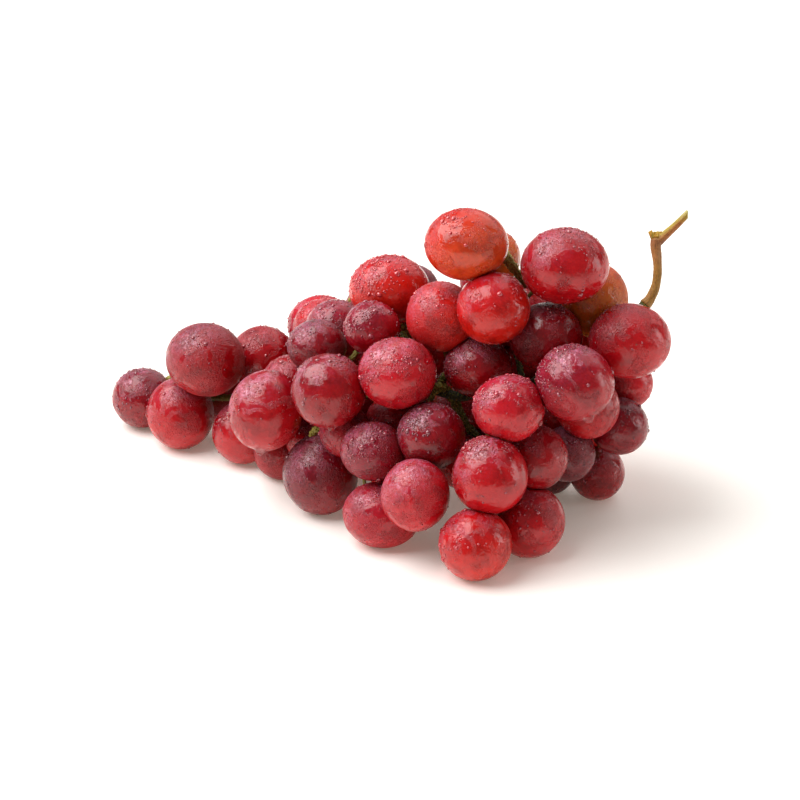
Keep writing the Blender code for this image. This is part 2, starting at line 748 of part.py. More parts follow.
def make_stem(stem, collection):
    bark = make_material("stem_bark", (0.27, 0.2, 0.05), 0.6)
    pieces = [make_tube(f"stalk_{number}", places, radii)
              for number, (places, radii) in enumerate(stem.runs())]
    for name, points in (("peduncle", PEDUNCLE), ("cut_branch", CUT_BRANCH), ("stub", STUB)):
        points = np.array(points)
        pieces.append(make_tube(name, points[:, :3], points[:, 3]))
    unite("stem", pieces, bark, collection)


def main():
    clear_scene()
    collection = make_collection()
    berries, spray = lay_out_berries()
    make_berry_sprays(berries, spray, collection)
    make_stem(Stem(berries), collection)


main()
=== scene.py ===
"""The looks of a bunch of red table grapes: skins, water drops, stalks, floor, light and camera.

The first half repeats the part's layout from the same values: where the berries lie, and how the
stalks run to them. It works in millimetres, in a frame that stands on the surface under the middle
of the picture. The second half is in Blender's metres, in the part's frame.
"""
import heapq
import math

import bmesh
import bpy
import numpy as np
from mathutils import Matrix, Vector


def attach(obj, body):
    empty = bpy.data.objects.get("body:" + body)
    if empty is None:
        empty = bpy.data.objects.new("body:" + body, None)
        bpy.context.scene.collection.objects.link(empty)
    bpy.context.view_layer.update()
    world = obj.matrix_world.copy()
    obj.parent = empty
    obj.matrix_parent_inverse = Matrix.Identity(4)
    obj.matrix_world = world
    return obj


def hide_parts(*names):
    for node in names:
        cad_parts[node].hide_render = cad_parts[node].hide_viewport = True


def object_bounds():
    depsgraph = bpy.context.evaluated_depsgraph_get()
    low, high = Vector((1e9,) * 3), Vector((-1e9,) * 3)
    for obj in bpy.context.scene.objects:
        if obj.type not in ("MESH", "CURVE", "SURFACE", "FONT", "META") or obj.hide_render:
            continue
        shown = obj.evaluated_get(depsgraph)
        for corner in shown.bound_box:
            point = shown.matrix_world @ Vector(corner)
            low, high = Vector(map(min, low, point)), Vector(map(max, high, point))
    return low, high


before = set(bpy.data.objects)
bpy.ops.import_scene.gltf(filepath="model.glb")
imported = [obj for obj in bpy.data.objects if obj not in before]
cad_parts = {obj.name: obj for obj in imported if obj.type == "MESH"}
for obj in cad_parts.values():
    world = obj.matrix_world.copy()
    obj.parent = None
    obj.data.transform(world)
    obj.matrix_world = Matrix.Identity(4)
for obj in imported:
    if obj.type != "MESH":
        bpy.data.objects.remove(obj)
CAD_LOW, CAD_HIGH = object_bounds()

MM = 0.001
TINY = 1e-9                # keeps a length from being zero

# Driving dimensions, in millimetres
PIXEL = 0.29               # size on the bunch of one pixel of the photograph
CAMERA_DISTANCE = 1100.0
TARGET_HEIGHT = 49.4       # the middle of the picture, above the surface
ORIGIN = np.array([-31.642, 39.094, 0.0])    # the part's origin, in the layout's frame
PRESS = 1.7                # how far neighbours in a spray press into each other
SPRAY_GAP = 0.5            # between berries of different sprays
SKIN_GAP = 0.35            # between a stalk's end and its berry
SINK = 0.6                 # how far a resting berry's round form would reach below the surface
HIDDEN_RADIUS = (8.2, 11.2)
SMALL_RADIUS = (6.8, 8.2)  # hidden berries in the places that are left
RACHIS_RADIUS = (1.7, 1.0)  # at the cut end and at the tip
LATERAL_RADIUS = 1.3
PEDICEL_RADIUS = 0.62
THICKENING = 0.28          # a stalk's radius grows with this power of the berries that it carries
LEAST_RADIUS = 0.4         # of a stalk, in a tight gap
COLLAR_RADIUS = 1.25       # where a stalk widens at its berry
COLLAR_LENGTH = 2.2

# The direction of the photograph
AZIMUTH = math.radians(30)
ELEVATION = math.radians(25)
PICTURE_CENTRE = 400       # in pixels, both ways

# Berries that show in the photograph: the centre x, y, the width and height in pixels, the turn in
# the picture in degrees, and the distance of the centre from the picture plane in millimetres,
# away from the viewer negative.
SEEN_BERRIES = (
    # the tip, at the far left
    (143, 397, 64, 62, 0, -97), (206, 358, 80, 75, -20, -72), (181, 410, 67, 72, 0, -87),
    (264, 357, 66, 64, 0, -84), (243, 431, 62, 65, 0, -76),
    # the left half, front to back
    (292, 385, 59, 59, 0, -61), (267, 410, 74, 81, -15, -44), (326, 391, 76, 75, 0, -23),
    (317, 346, 60, 54, 0, -38), (336, 330, 62, 62, 0, -55), (323, 329, 60, 60, 0, -73),
    (320, 325, 66, 60, 0, -90), (372, 328, 57, 56, 0, -23), (389, 290, 82, 71, 0, -39),
    (410, 293, 60, 60, 0, -58),
    # the crown
    (465, 243, 86, 75, 0, -14), (490, 257, 62, 62, 0, -34), (565, 266, 90, 77, 0, -9),
    (440, 316, 70, 72, 0, -20), (494, 310, 74, 72, 0, -6), (592, 299, 72, 76, 0, -29),
    (630, 341, 84, 77, 0, -13), (546, 337, 74, 70, 0, -19),
    # the right half, top to bottom
    (400, 372, 80, 72, 0, -9), (478, 368, 68, 62, 0, -23), (577, 382, 81, 76, -20, 0),
    (507.5, 405.5, 72, 68, 0, -6), (434, 434, 69, 68, 0, -10), (490, 474, 76, 80, 0, 1),
    (415, 496.5, 72, 76, 0, -2), (475, 548.5, 74, 73, 0, 0), (529, 523, 72, 73, 0, -16),
    (535, 456, 65, 66, 0, -17), (588, 405, 66, 67, 0, -20), (626, 383, 54, 52, 0, -44),
    (619, 427, 59, 58, 0, -35), (566, 454, 57, 57, 0, -33), (597, 472, 56, 57, 0, -52),
    (552, 469, 48, 50, 0, -56),
    # low on the left and between the others
    (371, 452, 66, 60, 0, -17), (381, 516, 78, 66, -10, -21), (320, 472, 75, 81, 0, -47),
    (283, 455, 56, 55, 0, -64), (392, 420, 50, 50, 0, -30), (308, 440, 44, 44, 0, -61),
    (345, 430, 52, 52, 0, -36), (352, 400, 56, 56, 0, -49), (520, 370, 60, 60, 0, -37),
    (553, 418, 60, 60, 0, -35), (457, 409, 60, 60, 0, -50), (224, 402, 54, 54, 0, -98),
)

# The main stem inside the bunch, from where it leaves the berries to the tip of the bunch
RACHIS = np.array([(42.8, 72.1, 61.6), (39, 65, 54), (31, 54, 46), (18, 42, 41), (0, 36, 36),
                   (-20, 36, 36), (-43, 36, 31), (-64, 41, 22), (-82, 42, 14), (-97, 42, 11)])

# The bare end of the stem: a cut branch, the node that it grows from, and a short stub.
# Each point is a place and a radius.
CUT_BRANCH = ((47.8, 88.0, 85.9, 1.05), (45.6, 85.2, 82.9, 1.15), (43.2, 82.2, 80.0, 1.4),
              (41.7, 80.6, 78.4, 1.75))
STUB = ((39.4, 80.9, 81.6, 0.75), (40.6, 80.7, 80.0, 1.1), (41.7, 80.6, 78.4, 1.6))
PEDUNCLE = ((41.7, 80.6, 79.4, 1.5), (42.1, 79.8, 77.0, 1.55), (43.2, 78.8, 73.6, 1.3),
            (44.1, 77.3, 69.8, 1.25), (44.3, 75.6, 66.2, 1.3), (43.6, 73.6, 63.0, 1.5),
            (*RACHIS[0], RACHIS_RADIUS[0]))

# The middle of each spray, and its name
SPRAYS = {
    "berries_tip": (-92, 36, 16),
    "berries_front_left": (-34, 8, 28),
    "berries_back_left": (-45, 58, 28),
    "berries_front_right": (26, 8, 28),
    "berries_back_right": (22, 62, 28),
    "berries_crown": (12, 42, 68),
}

SPRAY_MIDDLES = np.array(list(SPRAYS.values()), float)

# The outline that the hidden berries fill: along the bunch, where its axis runs and how wide it is
OUTLINE_X = (-100, -85, -75, -50, -25, 0, 25, 45, 58)
OUTLINE_RADIUS = (6, 14, 22, 31, 36, 40, 40, 34, 20)
AXIS_X = (-114, -60, 0, 60)
AXIS_Y = (40, 42, 40, 40)
AXIS_Z = (12, 26, 42, 44)

SEEN_YIELD = 0.12          # how readily a seen berry leaves its place in the picture, of 1
HOMING = np.array([0.3, 0.3, 0.02])    # how strongly it returns, across the picture and in depth
SOFTNESS = 0.5             # how softly berries push and pull
HIDDEN_SEED = 18
STALK_SEED = 29
STEM_ROOM = 2.4            # from the main stem's middle line to a berry
ROUTE_ROOM = 0.95          # the least room round a stalk's middle line
ON_SURFACE = 1.2           # berries that come this near the surface are laid on it
LINK_REACH = 6.5           # the longest straight step of a stalk
SHOWING_COST = 4           # how much more of its way a stalk goes to stay behind the berries
RACHIS_STEP = 4.0


def view_axes():
    """The picture's right, up and towards-the-viewer directions, one a row."""
    right = np.array([math.cos(AZIMUTH), math.sin(AZIMUTH), 0])
    away = np.array([-math.sin(AZIMUTH), math.cos(AZIMUTH), 0])
    up = np.array([0, 0, 1])
    rise = math.sin(ELEVATION)*away + math.cos(ELEVATION)*up
    towards = -math.cos(ELEVATION)*away + math.sin(ELEVATION)*up
    return np.array([right, rise, towards])


VIEW = view_axes()
UP = VIEW @ np.array([0, 0, 1])
TARGET = np.array([0, 0, TARGET_HEIGHT])


def to_layout(points):
    """From the picture's axes to the layout's."""
    return points @ VIEW + TARGET


def to_picture(points):
    """From the layout's axes to the picture's."""
    return (points - TARGET) @ VIEW.T


class Berries:
    """Ellipsoids in the picture's axes: centres, half widths, and their turn in the picture."""

    def __init__(self, centres, radii, turns):
        self.centres = centres
        self.radii = radii
        self.turns = turns

    def __len__(self):
        return len(self.centres)

    def with_one_more(self, centre, radius):
        return Berries(np.vstack([self.centres, centre]),
                       np.vstack([self.radii, [radius]*3]),
                       np.append(self.turns, 0.0))

    def reach(self, directions):
        """How far each berry's skin lies from its centre; berries run along the last but one axis."""
        return skin_reach(directions, self.radii, self.turns)

    def lowest(self):
        """The height of each berry's lowest point above the surface."""
        return self.centres @ UP + TARGET_HEIGHT - self.reach(np.tile(UP, (len(self), 1)))

    def gaps(self):
        """The gap between every two berries, and the direction from one to the other."""
        away = self.centres[None] - self.centres[:, None]
        each = np.arange(len(self))
        away[each, each, 2] = CAMERA_DISTANCE
        distance = np.linalg.norm(away, axis=2)
        directions = away/distance[..., None]
        first = skin_reach(directions, self.radii[:, None], self.turns[:, None])
        return distance - first - self.reach(directions), directions

    def skins_from(self, points):
        """How far each point of the layout is from each berry's skin, and the way out of it."""
        away = to_picture(points)[:, None] - self.centres[None]
        distance = np.linalg.norm(away, axis=2) + TINY
        directions = away/distance[..., None]
        return distance - self.reach(directions), directions

    def room(self, points):
        """The room round each point, and the way from the nearest berry, in the layout's axes."""
        skins, directions = self.skins_from(points)
        nearest = skins.argmin(1)
        each = np.arange(len(points))
        return skins[each, nearest], directions[each, nearest] @ VIEW


def skin_reach(directions, radii, turns):
    """The half width of an ellipsoid along a direction of the picture."""
    across = directions[..., 0]*np.cos(turns) + directions[..., 1]*np.sin(turns)
    along = directions[..., 1]*np.cos(turns) - directions[..., 0]*np.sin(turns)
    return 1/np.sqrt((across/radii[..., 0])**2 + (along/radii[..., 1])**2
                     + (directions[..., 2]/radii[..., 2])**2)


def pixel_at(depth):
    """The size of a pixel at this depth."""
    return PIXEL*(1 - depth/CAMERA_DISTANCE)


def in_picture(x, y, depth):
    """From the picture's pixels and a depth to its axes in millimetres."""
    size = pixel_at(depth)
    return np.stack([(x - PICTURE_CENTRE)*size, (PICTURE_CENTRE - y)*size, depth], -1)


def seen_berries():
    """The berries of the photograph, where it shows them."""
    x, y, width, height, turn, depth = np.array(SEEN_BERRIES, float).T
    half_width = width/2*pixel_at(depth)
    half_height = height/2*pixel_at(depth)
    radii = np.stack([half_width, half_height, np.sqrt(half_width*half_height)], 1)
    return Berries(in_picture(x, y, depth), radii, np.radians(turn))


def nearest_on_rachis(points):
    """The distance of each point from the main stem's middle line, and the nearest point on it."""
    best = np.full(len(points), np.inf)
    nearest = np.zeros_like(points)
    for start, end in zip(RACHIS[:-1], RACHIS[1:]):
        run = end - start
        share = np.clip((points - start) @ run/(run @ run), 0, 1)
        on_run = start + share[:, None]*run
        distance = np.linalg.norm(points - on_run, axis=1)
        closer = distance < best
        best[closer] = distance[closer]
        nearest[closer] = on_run[closer]
    return best, nearest


def settle(berries, yields, home, least, held, grounded, steps):
    """Move berries until no two are nearer than least, held pairs touch, and none is too low.

    A seen berry yields freely in depth and little across the picture, where it returns home,
    less so in the last third of the steps.
    """
    stem_softness = 0.05
    step_share, longest_move = 0.5, 0.8
    late_homing = 0.1
    free = np.stack([yields, yields, np.ones(len(berries))], 1)
    centres = berries.centres.copy()
    for step in range(steps):
        now = Berries(centres, berries.radii, berries.turns)
        gaps, directions = now.gaps()
        need = np.where(held, least - gaps, np.clip(least - gaps, 0, None))
        give = (free[:, None]*directions**2).sum(2) + (free[None]*directions**2).sum(2)
        move = -((need/(give + SOFTNESS))[..., None]*directions*free[:, None]).sum(1)
        lift = -SINK - now.lowest()
        lift = np.where(grounded, lift, np.clip(lift, 0, None))
        move += (lift/(free @ UP**2))[:, None]*free*UP
        places = to_layout(centres)
        distance, nearest = nearest_on_rachis(places)
        outward = (places - nearest)/distance[:, None] @ VIEW.T
        short = np.clip(now.reach(outward) + STEM_ROOM - distance, 0, None)
        move += (short/((free*outward**2).sum(1) + stem_softness))[:, None]*free*outward
        length = np.linalg.norm(move, axis=1, keepdims=True) + TINY
        centres += step_share*move*np.minimum(1, longest_move/length)
        strength = 1 if step < steps*2//3 else late_homing
        centres += strength*(home - centres)*(1 - yields)[:, None]*HOMING
    return Berries(centres, berries.radii, berries.turns)


def hidden_by(berries, places):
    """Whether the berries hide each place of the picture's axes from the viewer."""
    nearer = (CAMERA_DISTANCE - berries.centres[:, 2])/(CAMERA_DISTANCE - places[..., 2:])
    right = places[..., :1]*nearer - berries.centres[:, 0]
    rise = places[..., 1:2]*nearer - berries.centres[:, 1]
    across = (right*np.cos(berries.turns) + rise*np.sin(berries.turns))/berries.radii[:, 0]
    along = (rise*np.cos(berries.turns) - right*np.sin(berries.turns))/berries.radii[:, 1]
    inside = 1 - across**2 - along**2
    face = berries.centres[:, 2] + berries.radii[:, 2]*np.sqrt(np.clip(inside, 0, None))
    return np.where(inside > 0, face, -np.inf).max(-1) > places[..., 2]


def share_hidden(centres, radius, seen):
    """The share of each berry of this radius that the seen berries hide from the viewer."""
    sides, outer, inner = 14, 0.98, 0.6
    angles = np.linspace(0, 2*math.pi, sides, endpoint=False)
    ring = np.stack([np.cos(angles), np.sin(angles)], 1)
    disc = np.concatenate([outer*ring, inner*ring, np.zeros((1, 2))])
    face = np.column_stack([disc, np.sqrt(1 - (disc**2).sum(1))])
    return hidden_by(seen, centres[:, None] + radius*face).mean(1)


def add_hidden_berries(seen):
    """Fill the back and the inside with berries that the seen ones hide, each in a snug place."""
    draws = np.random.default_rng(HIDDEN_SEED)
    turns, large_turns, tries = 46, 36, 4000
    innermost = 0.05       # the share of the outline's section round its axis that is left free
    stretch = 1.08         # how much wider than high that section is
    most_overlap = 0.9     # with a neighbour, before settling
    least_hidden = 0.97
    neighbours, height_cost = 4, 0.03
    berries = seen
    for turn in range(turns):
        radius = draws.uniform(*(HIDDEN_RADIUS if turn < large_turns else SMALL_RADIUS))
        x = draws.uniform(OUTLINE_X[0], OUTLINE_X[-1], tries)
        angle = draws.uniform(0, 2*math.pi, tries)
        share_out_from_axis = np.sqrt(draws.uniform(innermost, 1, tries))
        out = np.interp(x, OUTLINE_X, OUTLINE_RADIUS)*share_out_from_axis
        y = np.interp(x, AXIS_X, AXIS_Y) + stretch*out*np.cos(angle)
        z = np.interp(x, AXIS_X, AXIS_Z) + out*np.sin(angle)
        places = np.stack([x, y, z], 1)[z > radius - SINK]
        skins, _ = berries.skins_from(places)
        from_rachis, _ = nearest_on_rachis(places)
        good = (skins.min(1) > radius - most_overlap) & (from_rachis > radius + STEM_ROOM)
        centres = to_picture(places)
        good[good] = share_hidden(centres[good], radius, seen) > least_hidden
        if not good.any():
            continue
        # the snuggest place is the one nearest to its neighbours, and low rather than high
        slack = np.sort(skins[good], 1)[:, :neighbours].mean(1) + height_cost*places[good, 2]
        berries = berries.with_one_more(centres[good][slack.argmin()], radius)
    return berries


def share_out(berries, seen_count):
    """Each berry joins the spray that reaches it first through berries that nearly touch.

    Two seen berries can close a gap in depth only, so a gap that stays across the picture costs
    more. Returns the spray of each berry, and the berry that it hangs together with.
    """
    overlap_wanted, stiffness = 0.5, 3
    each_berry, each_gap, from_middle = 10, 12, 0.4    # what a way costs
    gaps, directions = berries.gaps()
    depth_share = directions[..., 2]**2
    seen = np.arange(len(berries)) < seen_count
    stiff = (seen[:, None] & seen[None])*(1 - depth_share)
    effort = np.clip(gaps + overlap_wanted, 0, None)**1.5*(1 + stiffness*stiff)
    places = to_layout(berries.centres)
    count = len(berries)
    cost = np.full(count, np.inf)
    spray = np.full(count, -1)
    partner = np.full(count, -1)
    done = np.zeros(count, bool)
    heap = []
    for number, middle in enumerate(SPRAY_MIDDLES):
        first = int(np.linalg.norm(places - middle, axis=1).argmin())
        cost[first] = 0
        spray[first] = number
        heapq.heappush(heap, (0.0, first))
    while heap:
        so_far, here = heapq.heappop(heap)
        if done[here]:
            continue
        done[here] = True
        stray = np.linalg.norm(places - SPRAY_MIDDLES[spray[here]], axis=1)
        onward = so_far + each_berry + each_gap*effort[here] + from_middle*stray
        for other in np.flatnonzero(~done & (onward < cost)):
            cost[other] = onward[other]
            spray[other] = spray[here]
            partner[other] = here
            heapq.heappush(heap, (onward[other], int(other)))
    return spray, partner


def lay_out_berries():
    """All berries in their settled places, and the spray that each belongs to."""
    loose_overlap, loose_steps, steps = 0.35, 150, 600
    seen = seen_berries()
    count = len(seen)
    yields = np.full(count, SEEN_YIELD)
    least = np.full((count, count), -loose_overlap)
    nothing = np.zeros((count, count), bool)
    loose = settle(seen, yields, seen.centres, least, nothing, nothing[0], loose_steps)
    berries = add_hidden_berries(loose)

    spray, partner = share_out(berries, len(seen))
    count = len(berries)
    yields = np.ones(count)
    yields[:len(seen)] = SEEN_YIELD
    home = berries.centres.copy()
    home[:len(seen)] = seen.centres
    least = np.where(spray[:, None] == spray[None], -PRESS, SPRAY_GAP)
    held = np.zeros((count, count), bool)
    joined = np.flatnonzero(partner >= 0)
    held[joined, partner[joined]] = True
    held |= held.T
    grounded = berries.lowest() < ON_SURFACE
    return settle(berries, yields, home, least, held, grounded, steps), spray


def spaced(path, step):
    """Points at even steps along a path."""
    runs = np.linalg.norm(np.diff(path, axis=0), axis=1)
    marks = np.concatenate([[0], np.cumsum(runs)])
    wanted = np.linspace(0, marks[-1], int(marks[-1]//step) + 1)
    return np.stack([np.interp(wanted, marks, path[:, axis]) for axis in range(3)], 1)


def free_points(berries):
    """Seeded points in the gaps between the berries, each moved to where it has room."""
    draws = np.random.default_rng(STALK_SEED)
    count, rounds = 14000, 14
    margin_below, margin_above = 12, 6     # beyond the berries' centres
    lowest_stalk = 1.6
    near_skin, room_wanted, push = 3, 1.5, 0.6
    places = to_layout(berries.centres)
    low, high = places.min(0) - margin_below, places.max(0) + margin_above
    low[2] = lowest_stalk
    points = draws.uniform(low, high, (count, 3))
    room, _ = berries.room(points)
    points = points[np.abs(room) < near_skin]
    for _ in range(rounds):
        room, way_out = berries.room(points)
        points = points + push*way_out*np.clip(room_wanted - room, 0, 1)[:, None]
        points[:, 2] = np.maximum(points[:, 2], lowest_stalk)
    room, _ = berries.room(points)
    return points[room > ROUTE_ROOM]


def clear_links(points, berries):
    """Pairs of points with a straight way between them, and its cost.

    That is its length, or more where it would show between the berries.
    """
    least_room = ROUTE_ROOM - 0.1
    between = (0.25, 0.5, 0.75)
    first, second = [], []
    for start, point in enumerate(points):
        near = np.linalg.norm(points[start + 1:] - point, axis=1) < LINK_REACH
        ends = start + 1 + np.flatnonzero(near)
        first.append(np.full(len(ends), start))
        second.append(ends)
    first, second = np.concatenate(first), np.concatenate(second)
    clear = np.ones(len(first), bool)
    for share in between:
        room, _ = berries.room(points[first]*(1 - share) + points[second]*share)
        clear &= room > least_room
    first, second = first[clear], second[clear]
    length = np.linalg.norm(points[first] - points[second], axis=1)
    shows = ~hidden_by(berries, to_picture(points))
    cost = length*(1 + SHOWING_COST*(shows[first] + shows[second]))
    return zip(first.tolist(), second.tolist(), cost.tolist())


def ways_from_rachis(points, links, rachis_count):
    """The cost of the cheapest way from the main stem to each point, and the point before it."""
    neighbours = [[] for _ in points]
    for first, second, cost in links:
        neighbours[first].append((second, cost))
        neighbours[second].append((first, cost))
    cost_to = np.full(len(points), np.inf)
    before = np.full(len(points), -1)
    cost_to[:rachis_count] = 0
    before[:rachis_count] = np.arange(rachis_count) - 1
    heap = [(0.0, point) for point in range(rachis_count)]
    while heap:
        so_far, here = heapq.heappop(heap)
        if so_far > cost_to[here]:
            continue
        for other, cost in neighbours[here]:
            if so_far + cost < cost_to[other]:
                cost_to[other] = so_far + cost
                before[other] = here
                heapq.heappush(heap, (so_far + cost, other))
    return cost_to, before


def stalk_starts(points, cost_to, before, berries):
    """The point that each berry's stalk comes from. Ways that are in use cost less."""
    nearest_start, furthest_start = 1.8, 8     # from the berry's skin
    least_room, good_room = ROUTE_ROOM - 0.05, 1.7
    length_cost, tightness_cost = 2, 20
    shared_cost = 0.35     # the share of a way's cost where it is in use
    along = (0, 0.35, 0.7, 1)
    skins, directions = berries.skins_from(points)
    cost = cost_to.copy()
    in_range = (skins > nearest_start) & (skins < furthest_start)
    in_range &= np.isfinite(cost_to)[:, None]
    nearest = np.where(in_range, cost_to[:, None], np.inf).min(0)
    starts = {}
    for berry in np.argsort(nearest, kind="stable").tolist():
        near = np.flatnonzero(in_range[:, berry])
        way = directions[near, berry]
        skin = skin_reach(way, berries.radii[berry], berries.turns[berry])
        ends = to_layout(berries.centres[berry] + way*(skin + SKIN_GAP)[:, None])
        room = np.full(len(near), np.inf)
        showing = np.zeros(len(near))
        for share in along:
            places = points[near]*(1 - share) + ends*share
            others, _ = berries.skins_from(places)
            room = np.minimum(room, np.delete(others, berry, 1).min(1))
            showing += ~hidden_by(berries, to_picture(places))
        score = cost[near] + tightness_cost*np.clip(good_room - room, 0, None)
        score += skins[near, berry]*(length_cost + SHOWING_COST*showing/len(along))
        score[room < least_room] = np.inf
        start = int(near[score.argmin()])
        starts[berry] = start
        while start >= 0:
            cost[start] = shared_cost*cost_to[start]
            start = int(before[start])
    return starts


class Stem:
    """The stem as a tree: the place of each point, the one before it, and the berries it carries.

    The main stem's points come first. Each berry adds two: where its collar begins and ends.
    """

    def __init__(self, berries):
        rachis = spaced(RACHIS, RACHIS_STEP)
        self.rachis_count = len(rachis)
        points = np.concatenate([rachis, free_points(berries)])
        links = clear_links(points, berries)
        cost_to, before = ways_from_rachis(points, links, self.rachis_count)
        starts = stalk_starts(points, cost_to, before, berries)
        carried = np.zeros(len(points), int)
        for start in starts.values():
            while start >= 0:
                carried[start] += 1
                start = before[start]
        kept = np.flatnonzero((carried > 0) | (np.arange(len(points)) < self.rachis_count))
        number = {int(point): place for place, point in enumerate(kept)}
        self.places = points[kept].tolist()
        self.before = [number.get(int(before[point]), -1) for point in kept]
        self.carried = carried[kept].tolist()
        self.growing = len(kept)
        self.carrying = list(starts)
        for berry, start in starts.items():
            self.add_collar(berries, berry, number[start])
        self.places = np.array(self.places)
        self.after = [[] for _ in self.before]
        for point, previous in enumerate(self.before):
            if previous >= 0:
                self.after[previous].append(point)
        self.radii = self.plain_radii()
        self.smooth(berries)
        self.fit_radii(berries)

    def add_collar(self, berries, berry, start):
        way = to_picture(np.array(self.places[start])) - berries.centres[berry]
        way /= np.linalg.norm(way)
        skin = skin_reach(way, berries.radii[berry], berries.turns[berry]) + SKIN_GAP
        for out, previous in ((COLLAR_LENGTH, start), (0, len(self.places))):
            self.places.append(to_layout(berries.centres[berry] + way*(skin + out)).tolist())
            self.before.append(previous)
            self.carried.append(1)

    def plain_radii(self):
        radii = np.minimum(PEDICEL_RADIUS*np.array(self.carried)**THICKENING, LATERAL_RADIUS)
        radii[:self.rachis_count] = np.linspace(*RACHIS_RADIUS, self.rachis_count)
        radii[self.growing + 1::2] = COLLAR_RADIUS
        return radii

    def smooth(self, berries):
        """Even out the stalks' bends, and keep them clear of the berries."""
        rounds, ease = 100, 0.3
        spare, longest_push = 0.15, 0.6
        moving = np.zeros(len(self.places), bool)
        moving[self.rachis_count:self.growing] = True
        for _ in range(rounds):
            places = self.places.copy()
            for point in np.flatnonzero(moving):
                ahead = self.places[self.after[point]].mean(0)
                middle = (self.places[self.before[point]] + ahead)/2
                places[point] += ease*(middle - places[point])
            room, way_out = berries.room(places)
            push = np.clip(self.radii + SKIN_GAP + spare - room, 0, longest_push)*moving
            places += way_out*push[:, None]
            self.places = places

    def fit_radii(self, berries):
        """Slim what would come too near a berry, and keep each collar off its neighbours."""
        between = (0.3, 0.6)
        count = len(self.places)
        collar_ends = np.arange(self.growing + 1, count, 2)
        room = berries.room(self.places)[0]
        for share in between:
            middle = self.places*(1 - share) + self.places[self.before]*share
            room[1:] = np.minimum(room[1:], berries.room(middle)[0][1:])
        skins, _ = berries.skins_from(self.places[collar_ends])
        room[collar_ends] = np.sort(skins, 1)[:, 1]
        widest = np.maximum(room - SKIN_GAP, LEAST_RADIUS)
        self.radii = np.clip(self.radii, LEAST_RADIUS, widest)

    def runs(self):
        """Each stalk from its fork to its end, as places and radii, without its straight points."""
        starts = [(None, 0)]
        while starts:
            fork, point = starts.pop()
            run = [] if fork is None else [fork]
            while point is not None:
                run.append(point)
                after = sorted(self.after[point], key=lambda p: -self.carried[p])
                if point + 1 < self.rachis_count:
                    after.sort(key=lambda p: p != point + 1)
                starts += [(point, other) for other in after[1:]]
                point = after[0] if after else None
            yield self.bends_only(run)

    def bends_only(self, run):
        """The run's ends, its bends and the points where its radius changes."""
        least_bend, radius_change, longest_span = 0.45, 0.4, 10
        of_fork = 0.1      # the share of the fork's radius in the radius where the run leaves it
        places = self.places[run]
        radii = self.radii[run]
        radii[0] = min(radii[0], (1 - of_fork)*radii[1] + of_fork*radii[0])
        kept = [0]
        for point in range(1, len(run) - 1):
            ahead = places[point + 1] - places[kept[-1]]
            here = places[point] - places[kept[-1]]
            off_line = np.linalg.norm(np.cross(ahead, here))/np.linalg.norm(ahead)
            changes = abs(radii[point] - radii[point + 1]) > radius_change
            if off_line > least_bend or changes or np.linalg.norm(ahead) > longest_span:
                kept.append(point)
        kept.append(len(run) - 1)
        return places[kept], radii[kept]


# Skin colours, as a screen's red, green and blue of 255: the main one, and a brighter one that is painted
# light glowing through the skin on one side
TONES = {
    "black": ((78, 5, 14), (106, 7, 16)),
    "plum": ((104, 5, 24), (144, 9, 22)),
    "slate": ((96, 18, 34), (120, 20, 30)),
    "mauve": ((132, 8, 32), (172, 18, 28)),
    "wine": ((120, 4, 16), (160, 8, 17)),
    "cherry": ((148, 5, 18), (186, 14, 22)),
    "rose": ((164, 9, 30), (198, 24, 34)),
    "scarlet": ((184, 10, 15), (206, 36, 22)),
    "coral": ((190, 28, 14), (210, 74, 28)),
    "amber": ((198, 60, 20), (208, 108, 36)),
}

# The tone of each seen berry, in the order of the list of them
SEEN_TONES = """
    plum wine cherry cherry cherry
    cherry cherry wine plum mauve scarlet rose mauve scarlet slate
    coral amber cherry scarlet scarlet amber cherry wine
    rose wine mauve rose plum cherry rose scarlet cherry wine cherry rose plum slate wine black
    mauve rose plum wine cherry cherry mauve wine cherry cherry cherry cherry
""".split()
HIDDEN_TONES = "wine cherry cherry cherry rose scarlet scarlet plum mauve coral".split()

# How thickly dew, bloom and a painted sheen cover the upper side of each seen berry, the side towards the
# key light, from 0 to 9
SEEN_BLOOM_AND_SHEEN = "64525 4988645955 22657113 9999999433334442 967222222211"
HIDDEN_BLOOM_AND_SHEEN = 5
FULL_BLOOM_AND_SHEEN = 8

# The seen berries that carry the most water, and the large drops that hang from some of them: the
# berry, the direction in the picture in degrees from the right, and the drop's radius
WETTEST = (7, 12, 13, 17, 19, 23, 24, 25, 26, 27, 28, 39)
HANGING_DROPS = ((6, 262, 1.7), (6, 187, 1.1), (2, 184, 0.8), (15, 181, 0.9), (25, 292, 1.6),
                 (7, 275, 1.2), (26, 335, 1.0), (19, 318, 0.9))

DEW_AND_SHEEN_WAY = np.array([-0.45, 0.85, 0.3])     # in the picture's axes, the side where dew gathers, which faces the key light and takes the painted sheen

LOOKS_SEED = 5
BALL_LEVEL = 5             # how often the berries' balls are divided
HANGING_LEVEL = 4          # and those of the hanging drops
SMALL_DROP = (7, 2)        # sides and rings
LARGE_DROP = (14, 4)
LARGE_FROM = 0.5           # the radius from which a drop is a large one
STALK_SIDES, STALK_STEP = 12, 0.45
TWIG_SIDES, TWIG_STEP = 24, 0.2
BARE_SIDES, BARE_STEP = 28, 0.3    # round and along the bare end of the stem
FIBRE_SIDES = 8
LEAST_HEIGHT = 0.05        # of what comes down to the surface

